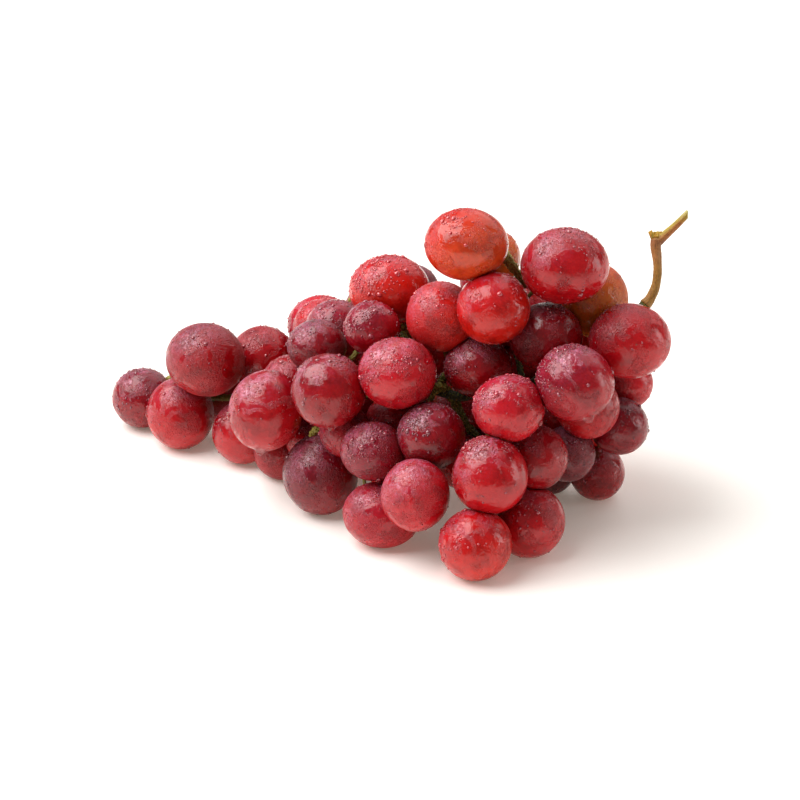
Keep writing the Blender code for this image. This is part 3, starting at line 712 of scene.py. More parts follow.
# Bits of stalk that show between the berries: for each point its place in the picture in pixels,
# its depth from the middle of the picture, less for farther away, and its radius
TWIGS = (
    ((499, 249, -16, 1.0), (506, 258, -18, 1.4), (512, 266, -20, 1.2), (519, 276, -24, 0.9),
     (524, 286, -29, 0.8)),
    ((434, 393, -36, 0.8), (441, 387, -35, 1.3), (450, 395, -37, 1.3), (458, 408, -40, 1.1),
     (466, 424, -42, 1.0), (475, 434.5, -44, 1.1), (480, 441, -46, 0.8)),
    ((456, 367, -32, 0.8), (449, 372, -34.5, 0.9), (444.5, 377, -36, 1.0), (441, 383, -36, 1.0)),
    ((398, 321, -42, 0.7), (405, 329, -44, 1.0), (408, 338, -47, 0.8)),
    ((344, 307, -62, 0.6), (350, 302, -62, 0.8), (357, 296, -64, 0.6)),
    ((345, 363, -42, 0.6), (353, 357, -42, 0.7), (362, 350, -46, 0.6)),
    ((311, 435, -38, 0.7), (317, 429, -38, 1.0), (323, 423, -42, 0.7)),
)

DIMPLE_DEPTH, DIMPLE_WIDTH = 0.55, 1.7      # where the stalk joins the berry
SCAR_DEPTH, SCAR_WIDTH = 0.25, 0.8          # at the other end of it
WAVINESS = 0.03            # of a berry's radius
CONTACT_SOFTNESS = 0.35
CONTACT_REACH = 0.2        # the widest gap between skins that flattens them
CONTACT_SPARE = 0.04       # how far a flattened skin stays from the middle of the gap
FACING = 0.3               # the least share of a direction that runs towards a plane


def unit_ball(level):
    """A ball of radius 1 from small triangles: its points and its faces."""
    maker = bmesh.new()
    bmesh.ops.create_icosphere(maker, subdivisions=level, radius=1)
    points = np.array([vertex.co for vertex in maker.verts])
    faces = np.array([[vertex.index for vertex in face.verts] for face in maker.faces])
    maker.free()
    return points, faces


def to_part(places):
    """From the layout's millimetres to the part's metres."""
    return (places - ORIGIN)*MM


def smooth_least(first, second, softness):
    """The lesser of two lengths, with a soft change from one to the other."""
    share = np.clip(0.5 + 0.5*(second - first)/softness, 0, 1)
    return second + (first - second)*share - softness*share*(1 - share)


def light(colour):
    """A screen colour of 255 as light."""
    share = np.array(colour)/255
    return np.where(share < 0.04045, share/12.92, ((share + 0.055)/1.055)**2.4)


def across(direction):
    """Two directions at right angles to this one and to each other."""
    side = np.cross(direction, (0.3, 0.5, 0.8))
    side /= np.linalg.norm(side)
    return side, np.cross(direction, side)


def put_in_scene(name, data):
    """A new object of the scene, with this mesh, light or camera."""
    made = bpy.data.objects.new(name, data)
    bpy.context.scene.collection.objects.link(made)
    return made


class Gathered:
    """Shapes that become one mesh, with the values at their points that its material reads."""

    def __init__(self):
        self.places = []
        self.faces = []
        self.values = {}
        self.count = 0

    def add(self, places, faces, **values):
        self.places.append(to_part(places))
        self.faces.append(faces + self.count)
        self.count += len(places)
        for name, value in values.items():
            value = np.asarray(value, float)
            shape = (len(places), value.shape[-1] if value.ndim else 1)
            self.values.setdefault(name, []).append(np.broadcast_to(value, shape))

    def as_piece(self, name, material, slot, *nodes):
        mesh = bpy.data.meshes.new(name)
        mesh.from_pydata(np.concatenate(self.places).tolist(), [],
                         np.concatenate(self.faces).tolist())
        for value_name, parts in self.values.items():
            values = np.concatenate(parts)
            kind, field = ("FLOAT", "value") if values.shape[1] == 1 else ("FLOAT_VECTOR", "vector")
            stored = mesh.attributes.new(value_name, kind, "POINT")
            stored.data.foreach_set(field, values.ravel())
        mesh.shade_smooth()
        mesh.materials.append(material)
        piece = put_in_scene(name, mesh)
        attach(piece, "root")
        if nodes:
            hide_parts(*nodes)


class Surfaces:
    """The fine skins of all berries, in the picture's axes."""

    def __init__(self, berries, stem, draws):
        self.berries = berries
        self.gaps, self.ways = berries.gaps()
        ends = to_picture(stem.places[stem.growing + 1::2])
        self.stalk_ways = np.zeros((len(berries), 3))
        for berry, end in zip(stem.carrying, ends):
            way = end - berries.centres[berry]
            self.stalk_ways[berry] = way/np.linalg.norm(way)
        self.waves = draws.normal(0, 1.6, (len(berries), 4, 3))
        self.phases = draws.uniform(0, 2*math.pi, (len(berries), 4))
        self.fits = self.fit_in_box()

    def fit_in_box(self):
        """How much each berry shrinks, so that its fine skin stays in the solids' box."""
        fits = np.ones(len(self.berries))
        places = to_part(to_layout(self.berries.centres))
        for axis in range(3):
            for side, wall in ((1, CAD_HIGH), (-1, CAD_LOW)):
                if axis == 2 and side < 0:
                    continue
                outward = side*VIEW[:, axis]
                reach = self.berries.reach(np.tile(outward, (len(fits), 1)))*(1 + WAVINESS)
                room = side*(wall[axis] - places[:, axis])/MM
                fits = np.minimum(fits, room/reach)
        return fits

    def reach(self, berry, directions):
        """How far the skin lies from the berry's centre."""
        berries = self.berries
        radius = berries.radii[berry].mean()
        reach = skin_reach(directions, berries.radii[berry], berries.turns[berry])*self.fits[berry]
        waves = np.sin(directions @ self.waves[berry].T + self.phases[berry]).mean(1)
        reach *= 1 + WAVINESS*waves
        from_stalk = radius*np.arccos(np.clip(directions @ self.stalk_ways[berry], -1, 1))
        from_scar = math.pi*radius - from_stalk
        reach -= DIMPLE_DEPTH*np.exp(-(from_stalk/DIMPLE_WIDTH)**2)
        reach -= SCAR_DEPTH*np.exp(-(from_scar/SCAR_WIDTH)**2)
        for other in np.flatnonzero(self.gaps[berry] < CONTACT_REACH):
            if other != berry:
                way = self.ways[berry, other]
                half = skin_reach(way, berries.radii[berry], berries.turns[berry])
                wall = half + self.gaps[berry, other]/2 - CONTACT_SPARE
                reach = self.stop_at(reach, directions @ way, wall)
        height = berries.centres[berry] @ UP + TARGET_HEIGHT
        return self.stop_at(reach, -directions @ UP, height)

    def stop_at(self, reach, share, wall):
        """Flatten the skin softly against a plane, where share of its reach runs towards it."""
        facing = share > FACING
        limit = np.where(facing, wall/np.maximum(share, FACING), np.inf)
        near = facing & (limit < reach + CONTACT_SOFTNESS)
        result = reach.copy()
        result[near] = smooth_least(reach[near], limit[near], CONTACT_SOFTNESS)
        return result

    def point(self, berry, directions):
        """Places on the skin, in the layout's frame."""
        reach = self.reach(berry, directions)
        return to_layout(self.berries.centres[berry] + directions*reach[:, None])


def tone_of(berry, draws):
    names = HIDDEN_TONES if berry >= len(SEEN_TONES) else SEEN_TONES[berry:berry + 1]
    main, glowing = TONES[names[draws.integers(len(names))]]
    return light(main), light(glowing)


def make_skins(surfaces, spray, draws, material):
    """A mesh of berries for each spray. Each berry's brighter tone, painted light glowing through its
    skin, lies on a side that is mostly low and to the right.

    Returns the main tone of each berry.
    """
    directions, faces = unit_ball(BALL_LEVEL)
    glow_way = np.array([0.45, -0.75, 0.2])
    glow_spread, glow_from, sharpness = 0.35, 0.1, 3.5
    dryness, wetter = 0.5, 0.3
    pattern_room = 50      # how far apart the berries' patterns may lie
    veils = [int(digit) for digit in SEEN_BLOOM_AND_SHEEN.replace(" ", "")]
    tones = {}
    for number, name in enumerate(SPRAYS):
        skins = Gathered()
        for berry in np.flatnonzero(spray == number).tolist():
            main, glowing = tone_of(berry, draws)
            tones[berry] = main
            way = glow_way + draws.normal(0, glow_spread, 3)
            way /= np.linalg.norm(way)
            # painted light: the brighter tone is laid on the low right side, as light glowing through the
            # skin
            share = 1/(1 + np.exp(-sharpness*(directions @ way - glow_from)))
            tone = main + share[:, None]*(glowing - main)
            stalk_way = surfaces.stalk_ways[berry]
            side, other_side = across(stalk_way)
            on_skin = directions @ np.stack([side, other_side, stalk_way], 1)
            dry = draws.uniform(-dryness, dryness) - wetter*(berry in WETTEST)
            # the side towards the key light, which gathers dew and takes the painted sheen
            dewy = np.clip(directions @ DEW_AND_SHEEN_WAY, 0, 1)[:, None]
            veil = (veils[berry] if berry < len(veils) else HIDDEN_BLOOM_AND_SHEEN)/FULL_BLOOM_AND_SHEEN
            skins.add(surfaces.point(berry, directions), faces, tone=tone, on_skin=on_skin,
                      dry=dry, dewy=dewy, veil=veil, berry_seed=draws.uniform(0, pattern_room))
        skins.as_piece(name + "_skins", material, "berry_skin", name)
    return tones


def drop_form(sides, rings):
    """A drop on a flat skin, 1 wide each way from its middle: a low dome with a closed base."""
    rim, base_depth = math.radians(66), 0.1
    points = [(0, 0, (1 - math.cos(rim))/math.sin(rim))]
    for ring in range(1, rings + 1):
        angle = rim*ring/rings
        height = (math.cos(angle) - math.cos(rim))/math.sin(rim)
        for side in range(sides):
            turn = 2*math.pi*side/sides
            out = math.sin(angle)/math.sin(rim)
            points.append((out*math.cos(turn), out*math.sin(turn), height))
    points.append((0, 0, -base_depth))
    faces = []
    last = len(points) - 1
    for side in range(sides):
        after = (side + 1) % sides
        faces.append((0, 1 + side, 1 + after))
        for ring in range(rings - 1):
            inner, outer = 1 + ring*sides, 1 + (ring + 1)*sides
            faces.append((inner + side, outer + side, outer + after))
            faces.append((inner + side, outer + after, inner + after))
        rim_start = 1 + (rings - 1)*sides
        faces.append((rim_start + side, last, rim_start + after))
    return np.array(points), np.array(faces)


def in_box(places):
    inside = (places > np.array(CAD_LOW)) & (places < np.array(CAD_HIGH))
    return inside.all(-1)


def drop_places(surfaces, berry, count, draws):
    """Directions from a berry's centre to drops on its open skin, more of them on its dewy side."""
    crowd = 6              # how many directions are drawn for each drop
    neighbour_room = 0.9   # from a neighbour's skin
    directions = draws.normal(size=(count*crowd, 3))
    directions /= np.linalg.norm(directions, axis=1, keepdims=True)
    patches = np.sin(directions @ surfaces.waves[berry].T*2 + surfaces.phases[berry]).sum(1)
    chance = np.clip(1.3*(directions @ DEW_AND_SHEEN_WAY), 0.08, 1)*np.clip(0.4 + 0.5*patches, 0.05, 1)
    directions = directions[draws.uniform(size=len(directions)) < chance][:count]
    skins, _ = surfaces.berries.skins_from(surfaces.point(berry, directions))
    skins[:, berry] = np.inf
    return directions[skins.min(1) > neighbour_room]


def make_drops(surfaces, tones, draws, material):
    """Water on the skins, as many small domes, in two meshes. Each takes the tone below it."""
    seen = len(SEEN_TONES)
    counts = {"wet": 300, "seen": 110, "hidden": 40}
    small_sizes, large_sizes, large_share = (0.26, 0.48), (0.5, 0.95), 0.05
    stretches, sink = (0.85, 1.15), 0.03
    forms = {False: drop_form(*SMALL_DROP), True: drop_form(*LARGE_DROP)}
    for part, berries in enumerate((range(0, seen), range(seen, len(surfaces.berries)))):
        drops = Gathered()
        for berry in berries:
            kind = "wet" if berry in WETTEST else "seen" if berry < seen else "hidden"
            for direction in drop_places(surfaces, berry, counts[kind], draws):
                sizes = large_sizes if draws.uniform() < large_share else small_sizes
                size = sizes[0] + (sizes[1] - sizes[0])*draws.uniform()**2
                form, faces = forms[size >= LARGE_FROM]
                side, other_side = across(direction)
                place = to_picture(surfaces.point(berry, direction[None])[0])
                stretch = draws.uniform(*stretches)
                shape = form*(size*stretch, size/stretch, size)
                axes = np.stack([side, other_side, direction])
                places = to_layout(place - sink*direction + shape @ axes)
                if in_box(to_part(places)).all():
                    drops.add(places, faces, tone=tones[berry])
        drops.as_piece(f"water_drops_{part + 1}", material, "berry_skin")


def make_hanging_drops(surfaces, material):
    """Large drops at the berries' edges, each drawn down by its weight."""
    directions, faces = unit_ball(HANGING_LEVEL)
    towards_viewer = 0.25
    sagging, sunk = 0.35, 0.35         # of the drop's radius
    hanging = Gathered()
    for berry, angle, radius in HANGING_DROPS:
        angle = math.radians(angle)
        way = np.array([math.cos(angle), math.sin(angle), towards_viewer])
        way /= np.linalg.norm(way)
        place = to_picture(surfaces.point(berry, way[None])[0])
        sag = np.clip(directions @ -UP, 0, 1)**2
        shape = radius*directions*(1 + sagging*sag)[:, None]
        places = to_layout(place - sunk*radius*way + shape)
        places[:, 2] = np.maximum(places[:, 2], LEAST_HEIGHT)
        hanging.add(places, faces)
    hanging.as_piece("hanging_drops", material, "berry_skin")


def smooth_path(points, step):
    """Even steps along a soft curve through the points, for any number of columns."""
    points = np.asarray(points, float)
    ends = np.vstack([2*points[0] - points[1], points, 2*points[-1] - points[-2]])
    pieces = []
    for start in range(len(points) - 1):
        before, first, second, after = ends[start:start + 4]
        length = np.linalg.norm(second[:3] - first[:3])
        share = np.linspace(0, 1, max(2, int(length/step) + 1), endpoint=False)[:, None]
        pieces.append(0.5*(2*first + share*(second - before)
                           + share**2*(2*before - 5*first + 4*second - after)
                           + share**3*(3*first - before - 3*second + after)))
    return np.vstack(pieces + [points[-1:]])


def tube(path, radii, sides, roughen):
    """A round stalk along a path: points, faces, and where each point is round and along it.

    roughen gives the radius's share at each angle and length.
    """
    ahead = np.gradient(path, axis=0)
    ahead /= np.linalg.norm(ahead, axis=1, keepdims=True) + TINY
    side, _ = across(ahead[0])
    lengths = np.concatenate([[0], np.cumsum(np.linalg.norm(np.diff(path, axis=0), axis=1))])
    turns = np.linspace(0, 2*math.pi, sides, endpoint=False)
    rings, on_bark = [], []
    for place, forward, radius, length in zip(path, ahead, radii, lengths):
        side = side - forward*(side @ forward)
        side /= np.linalg.norm(side)
        other_side = np.cross(forward, side)
        round_it = np.outer(np.cos(turns), side) + np.outer(np.sin(turns), other_side)
        share = roughen(turns, length)
        rings.append(place + radius*share[:, None]*round_it)
        on_bark.append(np.stack([np.cos(turns), np.sin(turns), np.full(sides, length)], 1))
    count = len(path)
    places = np.vstack(rings + [path[:1], path[-1:]])
    on_bark = np.vstack(on_bark + [[[0, 0, 0]], [[0, 0, lengths[-1]]]])
    first_end, last_end = count*sides, count*sides + 1
    faces = []
    for each in range(sides):
        after = (each + 1) % sides
        faces.append((first_end, after, each))
        faces.append((last_end, (count - 1)*sides + each, (count - 1)*sides + after))
        for ring in range(count - 1):
            low, high = ring*sides, (ring + 1)*sides
            faces.append((low + each, low + after, high + after))
            faces.append((low + each, high + after, high + each))
    return places, np.array(faces), on_bark


def roughener(draws, ridges, lumps, beads=0.0):
    """Lengthwise ridges, lumps and small beads round a stalk's plain form."""
    phases = draws.uniform(0, 2*math.pi, 6)

    def roughen(turns, length):
        along = np.sin(5*turns + phases[0] + 0.05*length) + 0.6*np.sin(9*turns + phases[1] - 0.1*length)
        lump = np.sin(2*turns + 2.1*length + phases[2])*np.sin(3*turns - 3.3*length + phases[3])
        swell = 0.5*np.sin(1.3*length + phases[4])
        bead = np.sin(3*turns + 5.2*length + phases[5])*np.sin(4*turns - 4.4*length)
        return 1 + ridges*along + lumps*(lump + swell) + beads*bead
    return roughen


BARK_TONES = {"ochre": (160, 112, 30), "brown": (144, 84, 32), "tan": (174, 120, 66),
              "orange": (176, 104, 34), "lime": (178, 158, 36), "yellow": (206, 158, 44),
              "pith": (206, 196, 136), "olive": (112, 100, 32), "green": (76, 80, 24),
              "dark": (42, 42, 16), "collar": (150, 136, 52), "knob": (196, 182, 84)}

# The parts of the bare stem: each one's points, how much thicker it is than its solid, and the tones of
# its upper side, painted lighter as lit, and of its lower side, painted darker as shade, from its first
# point to its last
BARE_PARTS = (
    (PEDUNCLE, 1.05, ("tan", "tan", "ochre", "ochre", "ochre"),
     ("brown", "tan", "ochre", "ochre", "ochre")),
    (CUT_BRANCH, 1.0, ("pith", "lime", "lime", "tan"), ("lime", "orange", "orange", "brown")),
    (STUB, 0.8, ("yellow", "yellow", "tan"), ("yellow", "ochre", "brown")),
)
CUT_LENGTH = 1.2           # how far the cut branch's form goes on past its solid before the cut
CUT_ROOM = 1.1             # how much of it the upright cut takes away

# The stub's torn top in the picture, in pixels: its foot's left and right ends, and its heights
TORN_ACROSS = (652.5, 660.5)
TORN_DOWN = (237.5, 231.2)


def bark_tone(stops, share):
    """The colour at shares of a stalk's length, from named tones at even stops."""
    colours = np.array([light(BARK_TONES[name]) for name in stops])
    at = np.linspace(0, 1, len(stops))
    return np.stack([np.interp(share, at, column) for column in colours.T], 1)


def add_stalk(stalks, path, sides, roughen, stops, warty):
    """A stalk along a path of places and radii, with named tones from its start to its end."""
    form, faces, on_bark = tube(path[:, :3], path[:, 3], sides, roughen)
    form[:, 2] = np.maximum(form[:, 2], LEAST_HEIGHT)
    tone = bark_tone(stops, on_bark[:, 2]/on_bark[:, 2].max())
    stalks.add(form, faces, tone=tone, on_bark=on_bark, warty=warty)


def cut_upright(places, room):
    """Cut a branch so that its end is upright in the picture, with its tip this far inside."""
    in_picture = to_picture(places)
    in_picture[:, 0] = np.minimum(in_picture[:, 0], in_picture[:, 0].max() - room)
    return to_layout(in_picture)


def make_bare_stem(stalks, draws):
    """The bare end: the main stem, the cut branch and the ragged stub between them."""
    lit_from, sharpness = 0.4, 2.2   # where the painted lit tones of the upper side begin, and how soon
    for points, swell, lit_side, shaded_side in BARE_PARTS:
        path = smooth_path(points, BARE_STEP)
        if points is CUT_BRANCH:
            outward = path[0] - path[1]
            outward *= CUT_LENGTH/np.linalg.norm(outward[:3])
            path = np.vstack([path[0] + outward, path])
        radii = swell*path[:, 3]
        rough = roughener(draws, ridges=0.03, lumps=0.03)
        places, faces, on_bark = tube(path[:, :3], radii, BARE_SIDES, rough)
        share = on_bark[:, 2]/on_bark[:, 2].max()
        rise = (places[:-2] - np.repeat(path[:, :3], BARE_SIDES, 0))[:, 2]/np.repeat(radii, BARE_SIDES)
        lit_share = np.append(np.clip(sharpness*(rise - lit_from), 0, 1), (0.5, 0.5))[:, None]
        # painted light and shade: lighter tones on the upper side, darker ones below
        tone = bark_tone(shaded_side, share)*(1 - lit_share) + bark_tone(lit_side, share)*lit_share
        if points is CUT_BRANCH:
            places = cut_upright(places, CUT_ROOM)
        stalks.add(places, faces, tone=tone, on_bark=on_bark, warty=0.15)
    make_torn_fibres(stalks, draws)


def make_torn_fibres(stalks, draws):
    """The stub's ragged top, from its outer edge to the foot of the cut branch."""
    count, width, tip_share = 30, 0.5, 0.4
    splay, scatter, raggedness = 0.35, 1.0, 2.4    # in the picture, the last two in pixels
    root_scatter, tip_scatter, bend = 0.5, 0.6, 0.15
    middle_across = sum(TORN_ACROSS)/2
    stub_depth = to_picture(np.array(STUB[1][:3]))[2]
    for _ in range(count):
        foot = draws.uniform(*TORN_ACROSS)
        root = to_layout(in_picture(foot, TORN_DOWN[0], stub_depth + draws.normal(0, root_scatter)))
        top = foot + splay*(foot - middle_across) + draws.normal(0, scatter)
        down = TORN_DOWN[1] + draws.uniform(0, raggedness)
        tip = to_layout(in_picture(top, down, stub_depth + draws.normal(0, tip_scatter)))
        middle = (root + tip)/2 + draws.normal(0, bend, 3)
        path = smooth_path([(*root, width), (*middle, 0.9*width), (*tip, tip_share*width)], BARE_STEP)
        rough = roughener(draws, ridges=0.02, lumps=0.15, beads=0.1)
        add_stalk(stalks, path, FIBRE_SIDES, rough, [("yellow", "lime")[draws.integers(2)]], 0.5)


def make_twigs(stalks, berries, stem, draws):
    """The bits of knobbly stalk that show between the berries.

    One end of each runs on to the stem, and the other into a berry, the shorter way round.
    """
    into_berry, least_run = 1.0, 0.2
    for points in TWIGS:
        bit = np.array([(*to_layout(in_picture(*point[:3])), point[3]) for point in points])
        ends = bit[[0, -1], :3]
        room, way_out = berries.room(ends)
        joints = ends - way_out*np.maximum(room + into_berry, least_run)[:, None]
        to_stem = np.linalg.norm(ends[:, None] - stem.places, axis=2)
        joined = (to_stem.min(1) + room[::-1]).argmin()
        joints[joined] = stem.places[to_stem[joined].argmin()]
        bit = np.vstack([(*joints[0], bit[0, 3]), bit, (*joints[1], bit[-1, 3])])
        rough = roughener(draws, ridges=0.02, lumps=0.25, beads=0.4)
        add_stalk(stalks, smooth_path(bit, TWIG_STEP), TWIG_SIDES, rough,
                  ("knob", "collar", "olive", "green"), 1)


def make_stalks(surfaces, stem, draws, material):
    """All of the stem in one mesh, each stalk sunk into the dimple of its berry."""
    sink, end_share = 0.3, 0.9
    stalks = Gathered()
    make_bare_stem(stalks, draws)
    make_twigs(stalks, surfaces.berries, stem, draws)
    for places, radii in stem.runs():
        path = smooth_path(np.column_stack([places, radii]), STALK_STEP)
        last = path[-1, :3] - path[-2, :3]
        last *= (SKIN_GAP + DIMPLE_DEPTH + sink)/np.linalg.norm(last)
        path = np.vstack([path, [*(path[-1, :3] + last), end_share*path[-1, 3]]])
        path[:, 3] = np.maximum(path[:, 3], LEAST_RADIUS)
        rough = roughener(draws, ridges=0.02, lumps=0.1, beads=0.12)
        add_stalk(stalks, path, STALK_SIDES, rough, ("green", "dark", "green", "olive", "collar"), 0.8)
    stalks.as_piece("stem_bark_and_stalks", material, "stem_bark", "stem")


def set_inputs(tree, node, inputs):
    """Give a node's inputs, by name or number, values or the outputs of other nodes."""
    for socket, value in inputs.items():
        if isinstance(value, bpy.types.NodeSocket):
            tree.links.new(value, node.inputs[socket])
        else:
            node.inputs[socket].default_value = value


def add(tree, kind, inputs=None, **settings):
    """A shader node with its inputs and settings."""
    node = tree.nodes.new("ShaderNode" + kind)
    for name, value in settings.items():
        setattr(node, name, value)
    set_inputs(tree, node, inputs or {})
    return node


def noise(tree, vector, scale, detail, roughness=0.5, distortion=0.0):
    return add(tree, "TexNoise", {"Vector": vector, "Scale": scale, "Detail": detail,
                                  "Roughness": roughness, "Distortion": distortion}).outputs[0]


def stored(tree, name, output="Vector"):
    return add(tree, "Attribute", attribute_name=name).outputs[output]


def ramp(tree, value, low, high):
    """0 below low, 1 above high, and a soft rise between them."""
    node = add(tree, "MapRange", {"Value": value, "From Min": low, "From Max": high},
               interpolation_type="SMOOTHSTEP")
    return node.outputs[0]


def mixed(tree, share, first, second, blend="MIX"):
    """A colour between two others, or between the first and what the second makes of it."""
    node = add(tree, "Mix", {0: share, 6: first, 7: second}, data_type="RGBA", blend_type=blend)
    return node.outputs[2]


def maths(tree, operation, first, second=0.0):
    return add(tree, "Math", {0: first, 1: second}, operation=operation).outputs[0]


def times(tree, first, second):
    return maths(tree, "MULTIPLY", first, second)


def plus(tree, first, second):
    return maths(tree, "ADD", first, second)


def new_material(name):
    material = bpy.data.materials.new(name)
    material.use_nodes = True
    tree = material.node_tree
    return material, tree, tree.nodes["Principled BSDF"]


def rgb(*colour):
    return (*light(colour), 1)


def domes(tree, place, scale, radius):
    """The height of round drops, of this radius at most, in the cells of a scattered pattern."""
    cells = add(tree, "TexVoronoi", {"Vector": place, "Scale": scale, "Randomness": 1.0})
    distance = cells.outputs["Distance"]
    inside = maths(tree, "SUBTRACT", radius**2, times(tree, distance, distance))
    return times(tree, maths(tree, "SQRT", maths(tree, "MAXIMUM", inside, 0.0)), 1/scale)


def make_skin_material():
    """Translucent skin, mottled and finely veined, with a wet film in patches and dew between, and bloom
    with a painted sheen on the side towards the key light.
    """
    millimetres = 10.5     # in the length of 1 of the pattern, a berry's radius
    material, tree, shader = new_material("grape_skin")
    on_skin = stored(tree, "on_skin")
    place = add(tree, "VectorMath", {0: on_skin, 1: stored(tree, "berry_seed", "Fac")},
                operation="ADD").outputs[0]

    # darker flecks and patches, and finer pale ones
    tone = stored(tree, "tone", "Color")
    dark = mixed(tree, 1.0, tone, (0.48, 0.26, 0.36, 1), "MULTIPLY")
    pale = mixed(tree, 1.0, tone, (0.13, 0.012, 0.008, 1), "ADD")
    colour = mixed(tree, times(tree, ramp(tree, noise(tree, place, 1.7, 5), 0.46, 0.66), 0.6), tone, dark)
    flecks = ramp(tree, noise(tree, place, 7, 6, 0.65), 0.54, 0.66)
    colour = mixed(tree, times(tree, flecks, 0.4), colour, dark)
    pale_flecks = ramp(tree, noise(tree, place, 5, 6, 0.7, 0.5), 0.52, 0.68)
    colour = mixed(tree, times(tree, pale_flecks, 0.5), colour, pale)

    # fine veins from the stalk to the other end, and pale dots
    stretched = add(tree, "Mapping", {"Vector": place, "Scale": (8, 8, 1.8)}).outputs[0]
    veins = ramp(tree, noise(tree, stretched, 1.6, 6, 0.68, 0.3), 0.53, 0.64)
    colour = mixed(tree, times(tree, veins, 0.4), colour, pale)
    dots = add(tree, "TexVoronoi", {"Vector": place, "Scale": 22.0}).outputs["Distance"]
    colour = mixed(tree, times(tree, ramp(tree, dots, 0.17, 0.08), 0.16), colour, rgb(200, 96, 72))

    # the scar opposite the stalk, and the paler skin round the stalk
    height = add(tree, "SeparateXYZ", {0: on_skin}).outputs[2]
    colour = mixed(tree, times(tree, ramp(tree, height, 0.9, 0.985), 0.4), colour, rgb(150, 88, 34))
    ragged = times(tree, noise(tree, place, 30, 2), 0.004)
    scar = ramp(tree, plus(tree, height, ragged), -0.9965, -0.9985)
    colour = mixed(tree, scar, colour, rgb(92, 52, 28))

    # a smooth wet film with sharp edges, and between its patches dew on a dull bloom; on the side that
    # faces the key light, bloom and a pale pink painted sheen
    dewy = stored(tree, "dewy", "Fac")
    moist = plus(tree, times(tree, stored(tree, "dry", "Fac"), 0.16), times(tree, dewy, 0.08))
    dull = ramp(tree, plus(tree, noise(tree, place, 1.5, 5, 0.55, 0.9), moist), 0.5, 0.54)
    worn = ramp(tree, noise(tree, place, 3.1, 6, 0.62), 0.34, 0.62)
    lit_side = times(tree, ramp(tree, dewy, 0.1, 0.95), stored(tree, "veil", "Fac"))
    frost = ramp(tree, noise(tree, place, 12, 4, 0.8), 0.46, 0.57)
    frosted_lit_side = times(tree, lit_side, plus(tree, times(tree, frost, 0.95), 0.4))
    bloom_and_sheen_mask = times(tree, times(tree, worn, plus(tree, times(tree, dull, 0.7), 0.3)), frosted_lit_side)
    # partly bloom, partly painted sheen: pale pink mixed into the colour on the side that faces the key
    # light
    colour = mixed(tree, times(tree, bloom_and_sheen_mask, 0.46), colour, rgb(214, 112, 148))
    roughness = plus(tree, times(tree, dull, 0.32), 0.08)
    roughness = plus(tree, roughness, times(tree, noise(tree, place, 9, 3), 0.1))

    # heights in millimetres: the film's rim, dents, fine grain, and dew of two sizes
    film = times(tree, dull, -0.07)
    dents = times(tree, noise(tree, place, 3.4, 2, 0.5, 0.6), 0.3)
    grain = times(tree, noise(tree, place, 38, 3), 0.035)
    dew = times(tree, plus(tree, domes(tree, place, 15.0, 0.4), domes(tree, place, 26.0, 0.42)), dull)
    relief = plus(tree, plus(tree, film, dents), plus(tree, grain, times(tree, dew, 0.7*millimetres)))
    bump = add(tree, "Bump", {"Strength": 1.0, "Distance": MM, "Height": relief}).outputs[0]

    set_inputs(tree, shader, {
        "Base Color": colour, "Roughness": roughness, "IOR": 1.48, "Normal": bump,
        "Coat Weight": times(tree, times(tree, dull, frosted_lit_side), 0.85),
        "Coat Roughness": 0.3, "Coat IOR": 1.6, "Coat Normal": bump,
        "Subsurface Weight": 0.5, "Subsurface Radius": (1.0, 0.16, 0.12),
        "Subsurface Scale": 5.5*MM})
    return material


def make_drop_material():
    """The small drops: the deep tone of the skin seen through water, with a sharp gloss."""
    material, tree, shader = new_material("water_on_skin")
    deep = mixed(tree, 0.14, stored(tree, "tone", "Color"), rgb(206, 112, 130))
    set_inputs(tree, shader, {"Base Color": deep, "Roughness": 0.06, "IOR": 1.85})
    return material


def make_water_material():
    material, tree, shader = new_material("water")
    set_inputs(tree, shader, {"Base Color": (1, 0.97, 0.97, 1), "Roughness": 0.03, "IOR": 1.33,
                              "Transmission Weight": 1.0})
    return material


def make_bark_material():
    """Dull green to ochre bark, streaked along its length, with pale warts."""
    material, tree, shader = new_material("stalk_bark")
    place = stored(tree, "on_bark")
    tone = stored(tree, "tone", "Color")
    stretched = add(tree, "Mapping", {"Vector": place, "Scale": (3.2, 3.2, 0.5)}).outputs[0]
    streaks = noise(tree, stretched, 1.6, 6, 0.65)
    dark = mixed(tree, 1.0, tone, (0.46, 0.4, 0.34, 1), "MULTIPLY")
    colour = mixed(tree, ramp(tree, streaks, 0.46, 0.66), tone, dark)
    warts = add(tree, "TexVoronoi", {"Vector": place, "Scale": 1.4})
    wart = times(tree, ramp(tree, warts.outputs["Distance"], 0.45, 0.16), stored(tree, "warty", "Fac"))
    colour = mixed(tree, times(tree, wart, 0.8), colour, rgb(170, 158, 70))
    height = plus(tree, streaks, times(tree, wart, 1.6))
    bump = add(tree, "Bump", {"Strength": 0.8, "Distance": 0.25*MM, "Height": height}).outputs[0]
    set_inputs(tree, shader, {
        "Base Color": colour, "Normal": bump,
        "Roughness": plus(tree, times(tree, streaks, 0.3), 0.4),
        "Subsurface Weight": 0.1, "Subsurface Radius": (0.6, 1.0, 0.2), "Subsurface Scale": MM})
    return material


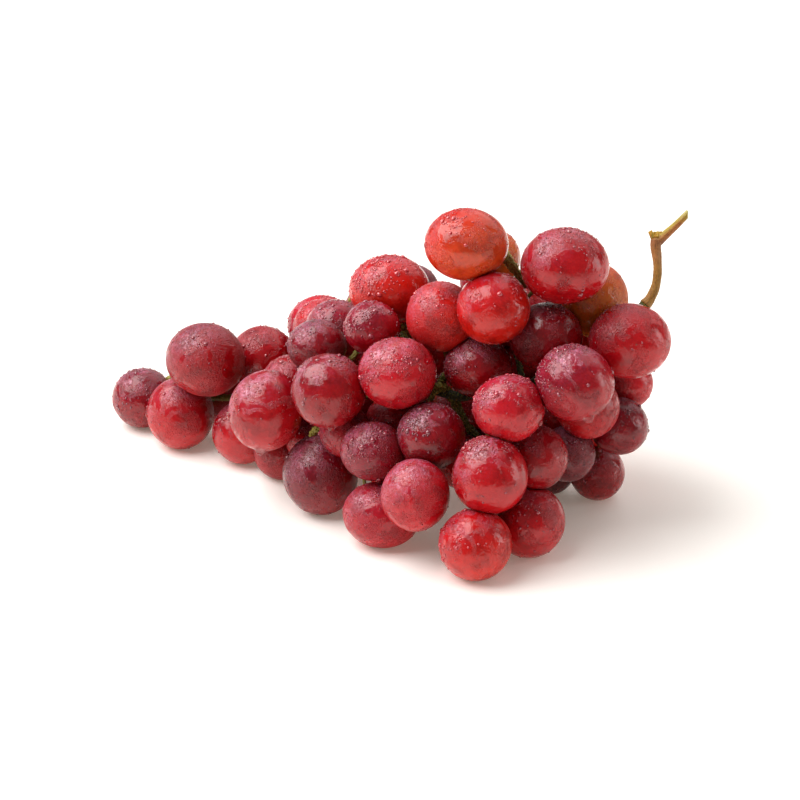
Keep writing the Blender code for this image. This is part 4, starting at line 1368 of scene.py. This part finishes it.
def make_floor():
    """A pale warm surface with a very faint unevenness."""
    half = 3.0
    below = 0.02           # in millimetres, below the berries' flat spots
    mesh = bpy.data.meshes.new("floor")
    mesh.from_pydata([(-half, -half, 0), (half, -half, 0), (half, half, 0), (-half, half, 0)], [],
                     [(0, 1, 2, 3)])
    material, tree, shader = new_material("floor")
    place = add(tree, "TexCoord").outputs["Object"]
    colour = mixed(tree, noise(tree, place, 6, 3), rgb(246, 243, 238), rgb(250, 248, 244))
    set_inputs(tree, shader, {"Base Color": colour, "Roughness": 0.6,
                              "Emission Color": (1, 0.9, 0.74, 1), "Emission Strength": 0.15})
    mesh.materials.append(material)
    floor = put_in_scene("floor", mesh)
    floor.location.z = -below*MM


LIT_HEIGHT = 0.04          # in metres, the height that the lights face


def make_light(name, side, distance, width, height, power):
    """A soft rectangular light that faces the bunch from one side of the picture."""
    way = Vector(np.array(side) @ VIEW).normalized()
    lamp = bpy.data.lights.new(name, "AREA")
    lamp.shape = "RECTANGLE"
    lamp.size = width
    lamp.size_y = height
    lamp.energy = power
    light_object = put_in_scene(name, lamp)
    middle = Vector((*to_part(TARGET)[:2], LIT_HEIGHT))
    light_object.location = middle + distance*way
    light_object.rotation_euler = way.to_track_quat("Z", "Y").to_euler()


def make_lights():
    make_light("key", (-0.58, 0.76, 0.28), distance=0.9, width=1.05, height=0.95, power=17)
    make_light("window", (0.97, 0.15, 0.08), distance=0.8, width=0.3, height=0.5, power=1.6)
    make_light("ceiling", (0.35, 0.9, -0.25), distance=1.4, width=1.6, height=1.6, power=9)
    world = bpy.data.worlds.new("studio")
    world.use_nodes = True
    background = world.node_tree.nodes["Background"]
    background.inputs["Color"].default_value = (1, 0.99, 0.975, 1)
    background.inputs["Strength"].default_value = 0.2
    bpy.context.scene.world = world


def make_camera():
    """The camera of the photograph: its long side, 800 pixels, spans 232 mm at the bunch."""
    data = bpy.data.cameras.new("camera")
    span = 2*PICTURE_CENTRE*PIXEL
    data.sensor_width = 36
    data.lens = data.sensor_width*CAMERA_DISTANCE/span
    data.clip_start = 0.05
    data.clip_end = 20
    camera = put_in_scene("camera", data)
    camera.location = to_part(TARGET + CAMERA_DISTANCE*VIEW[2])
    camera.rotation_euler = Vector(VIEW[2]).to_track_quat("Z", "Y").to_euler()
    bpy.context.scene.camera = camera


def main():
    draws = np.random.default_rng(LOOKS_SEED)
    berries, spray = lay_out_berries()
    stem = Stem(berries)
    surfaces = Surfaces(berries, stem, draws)
    tones = make_skins(surfaces, spray, draws, make_skin_material())
    make_drops(surfaces, tones, draws, make_drop_material())
    make_hanging_drops(surfaces, make_water_material())
    make_stalks(surfaces, stem, draws, make_bark_material())
    make_floor()
    make_lights()
    make_camera()
    bpy.context.scene.view_settings.view_transform = "Standard"


main()
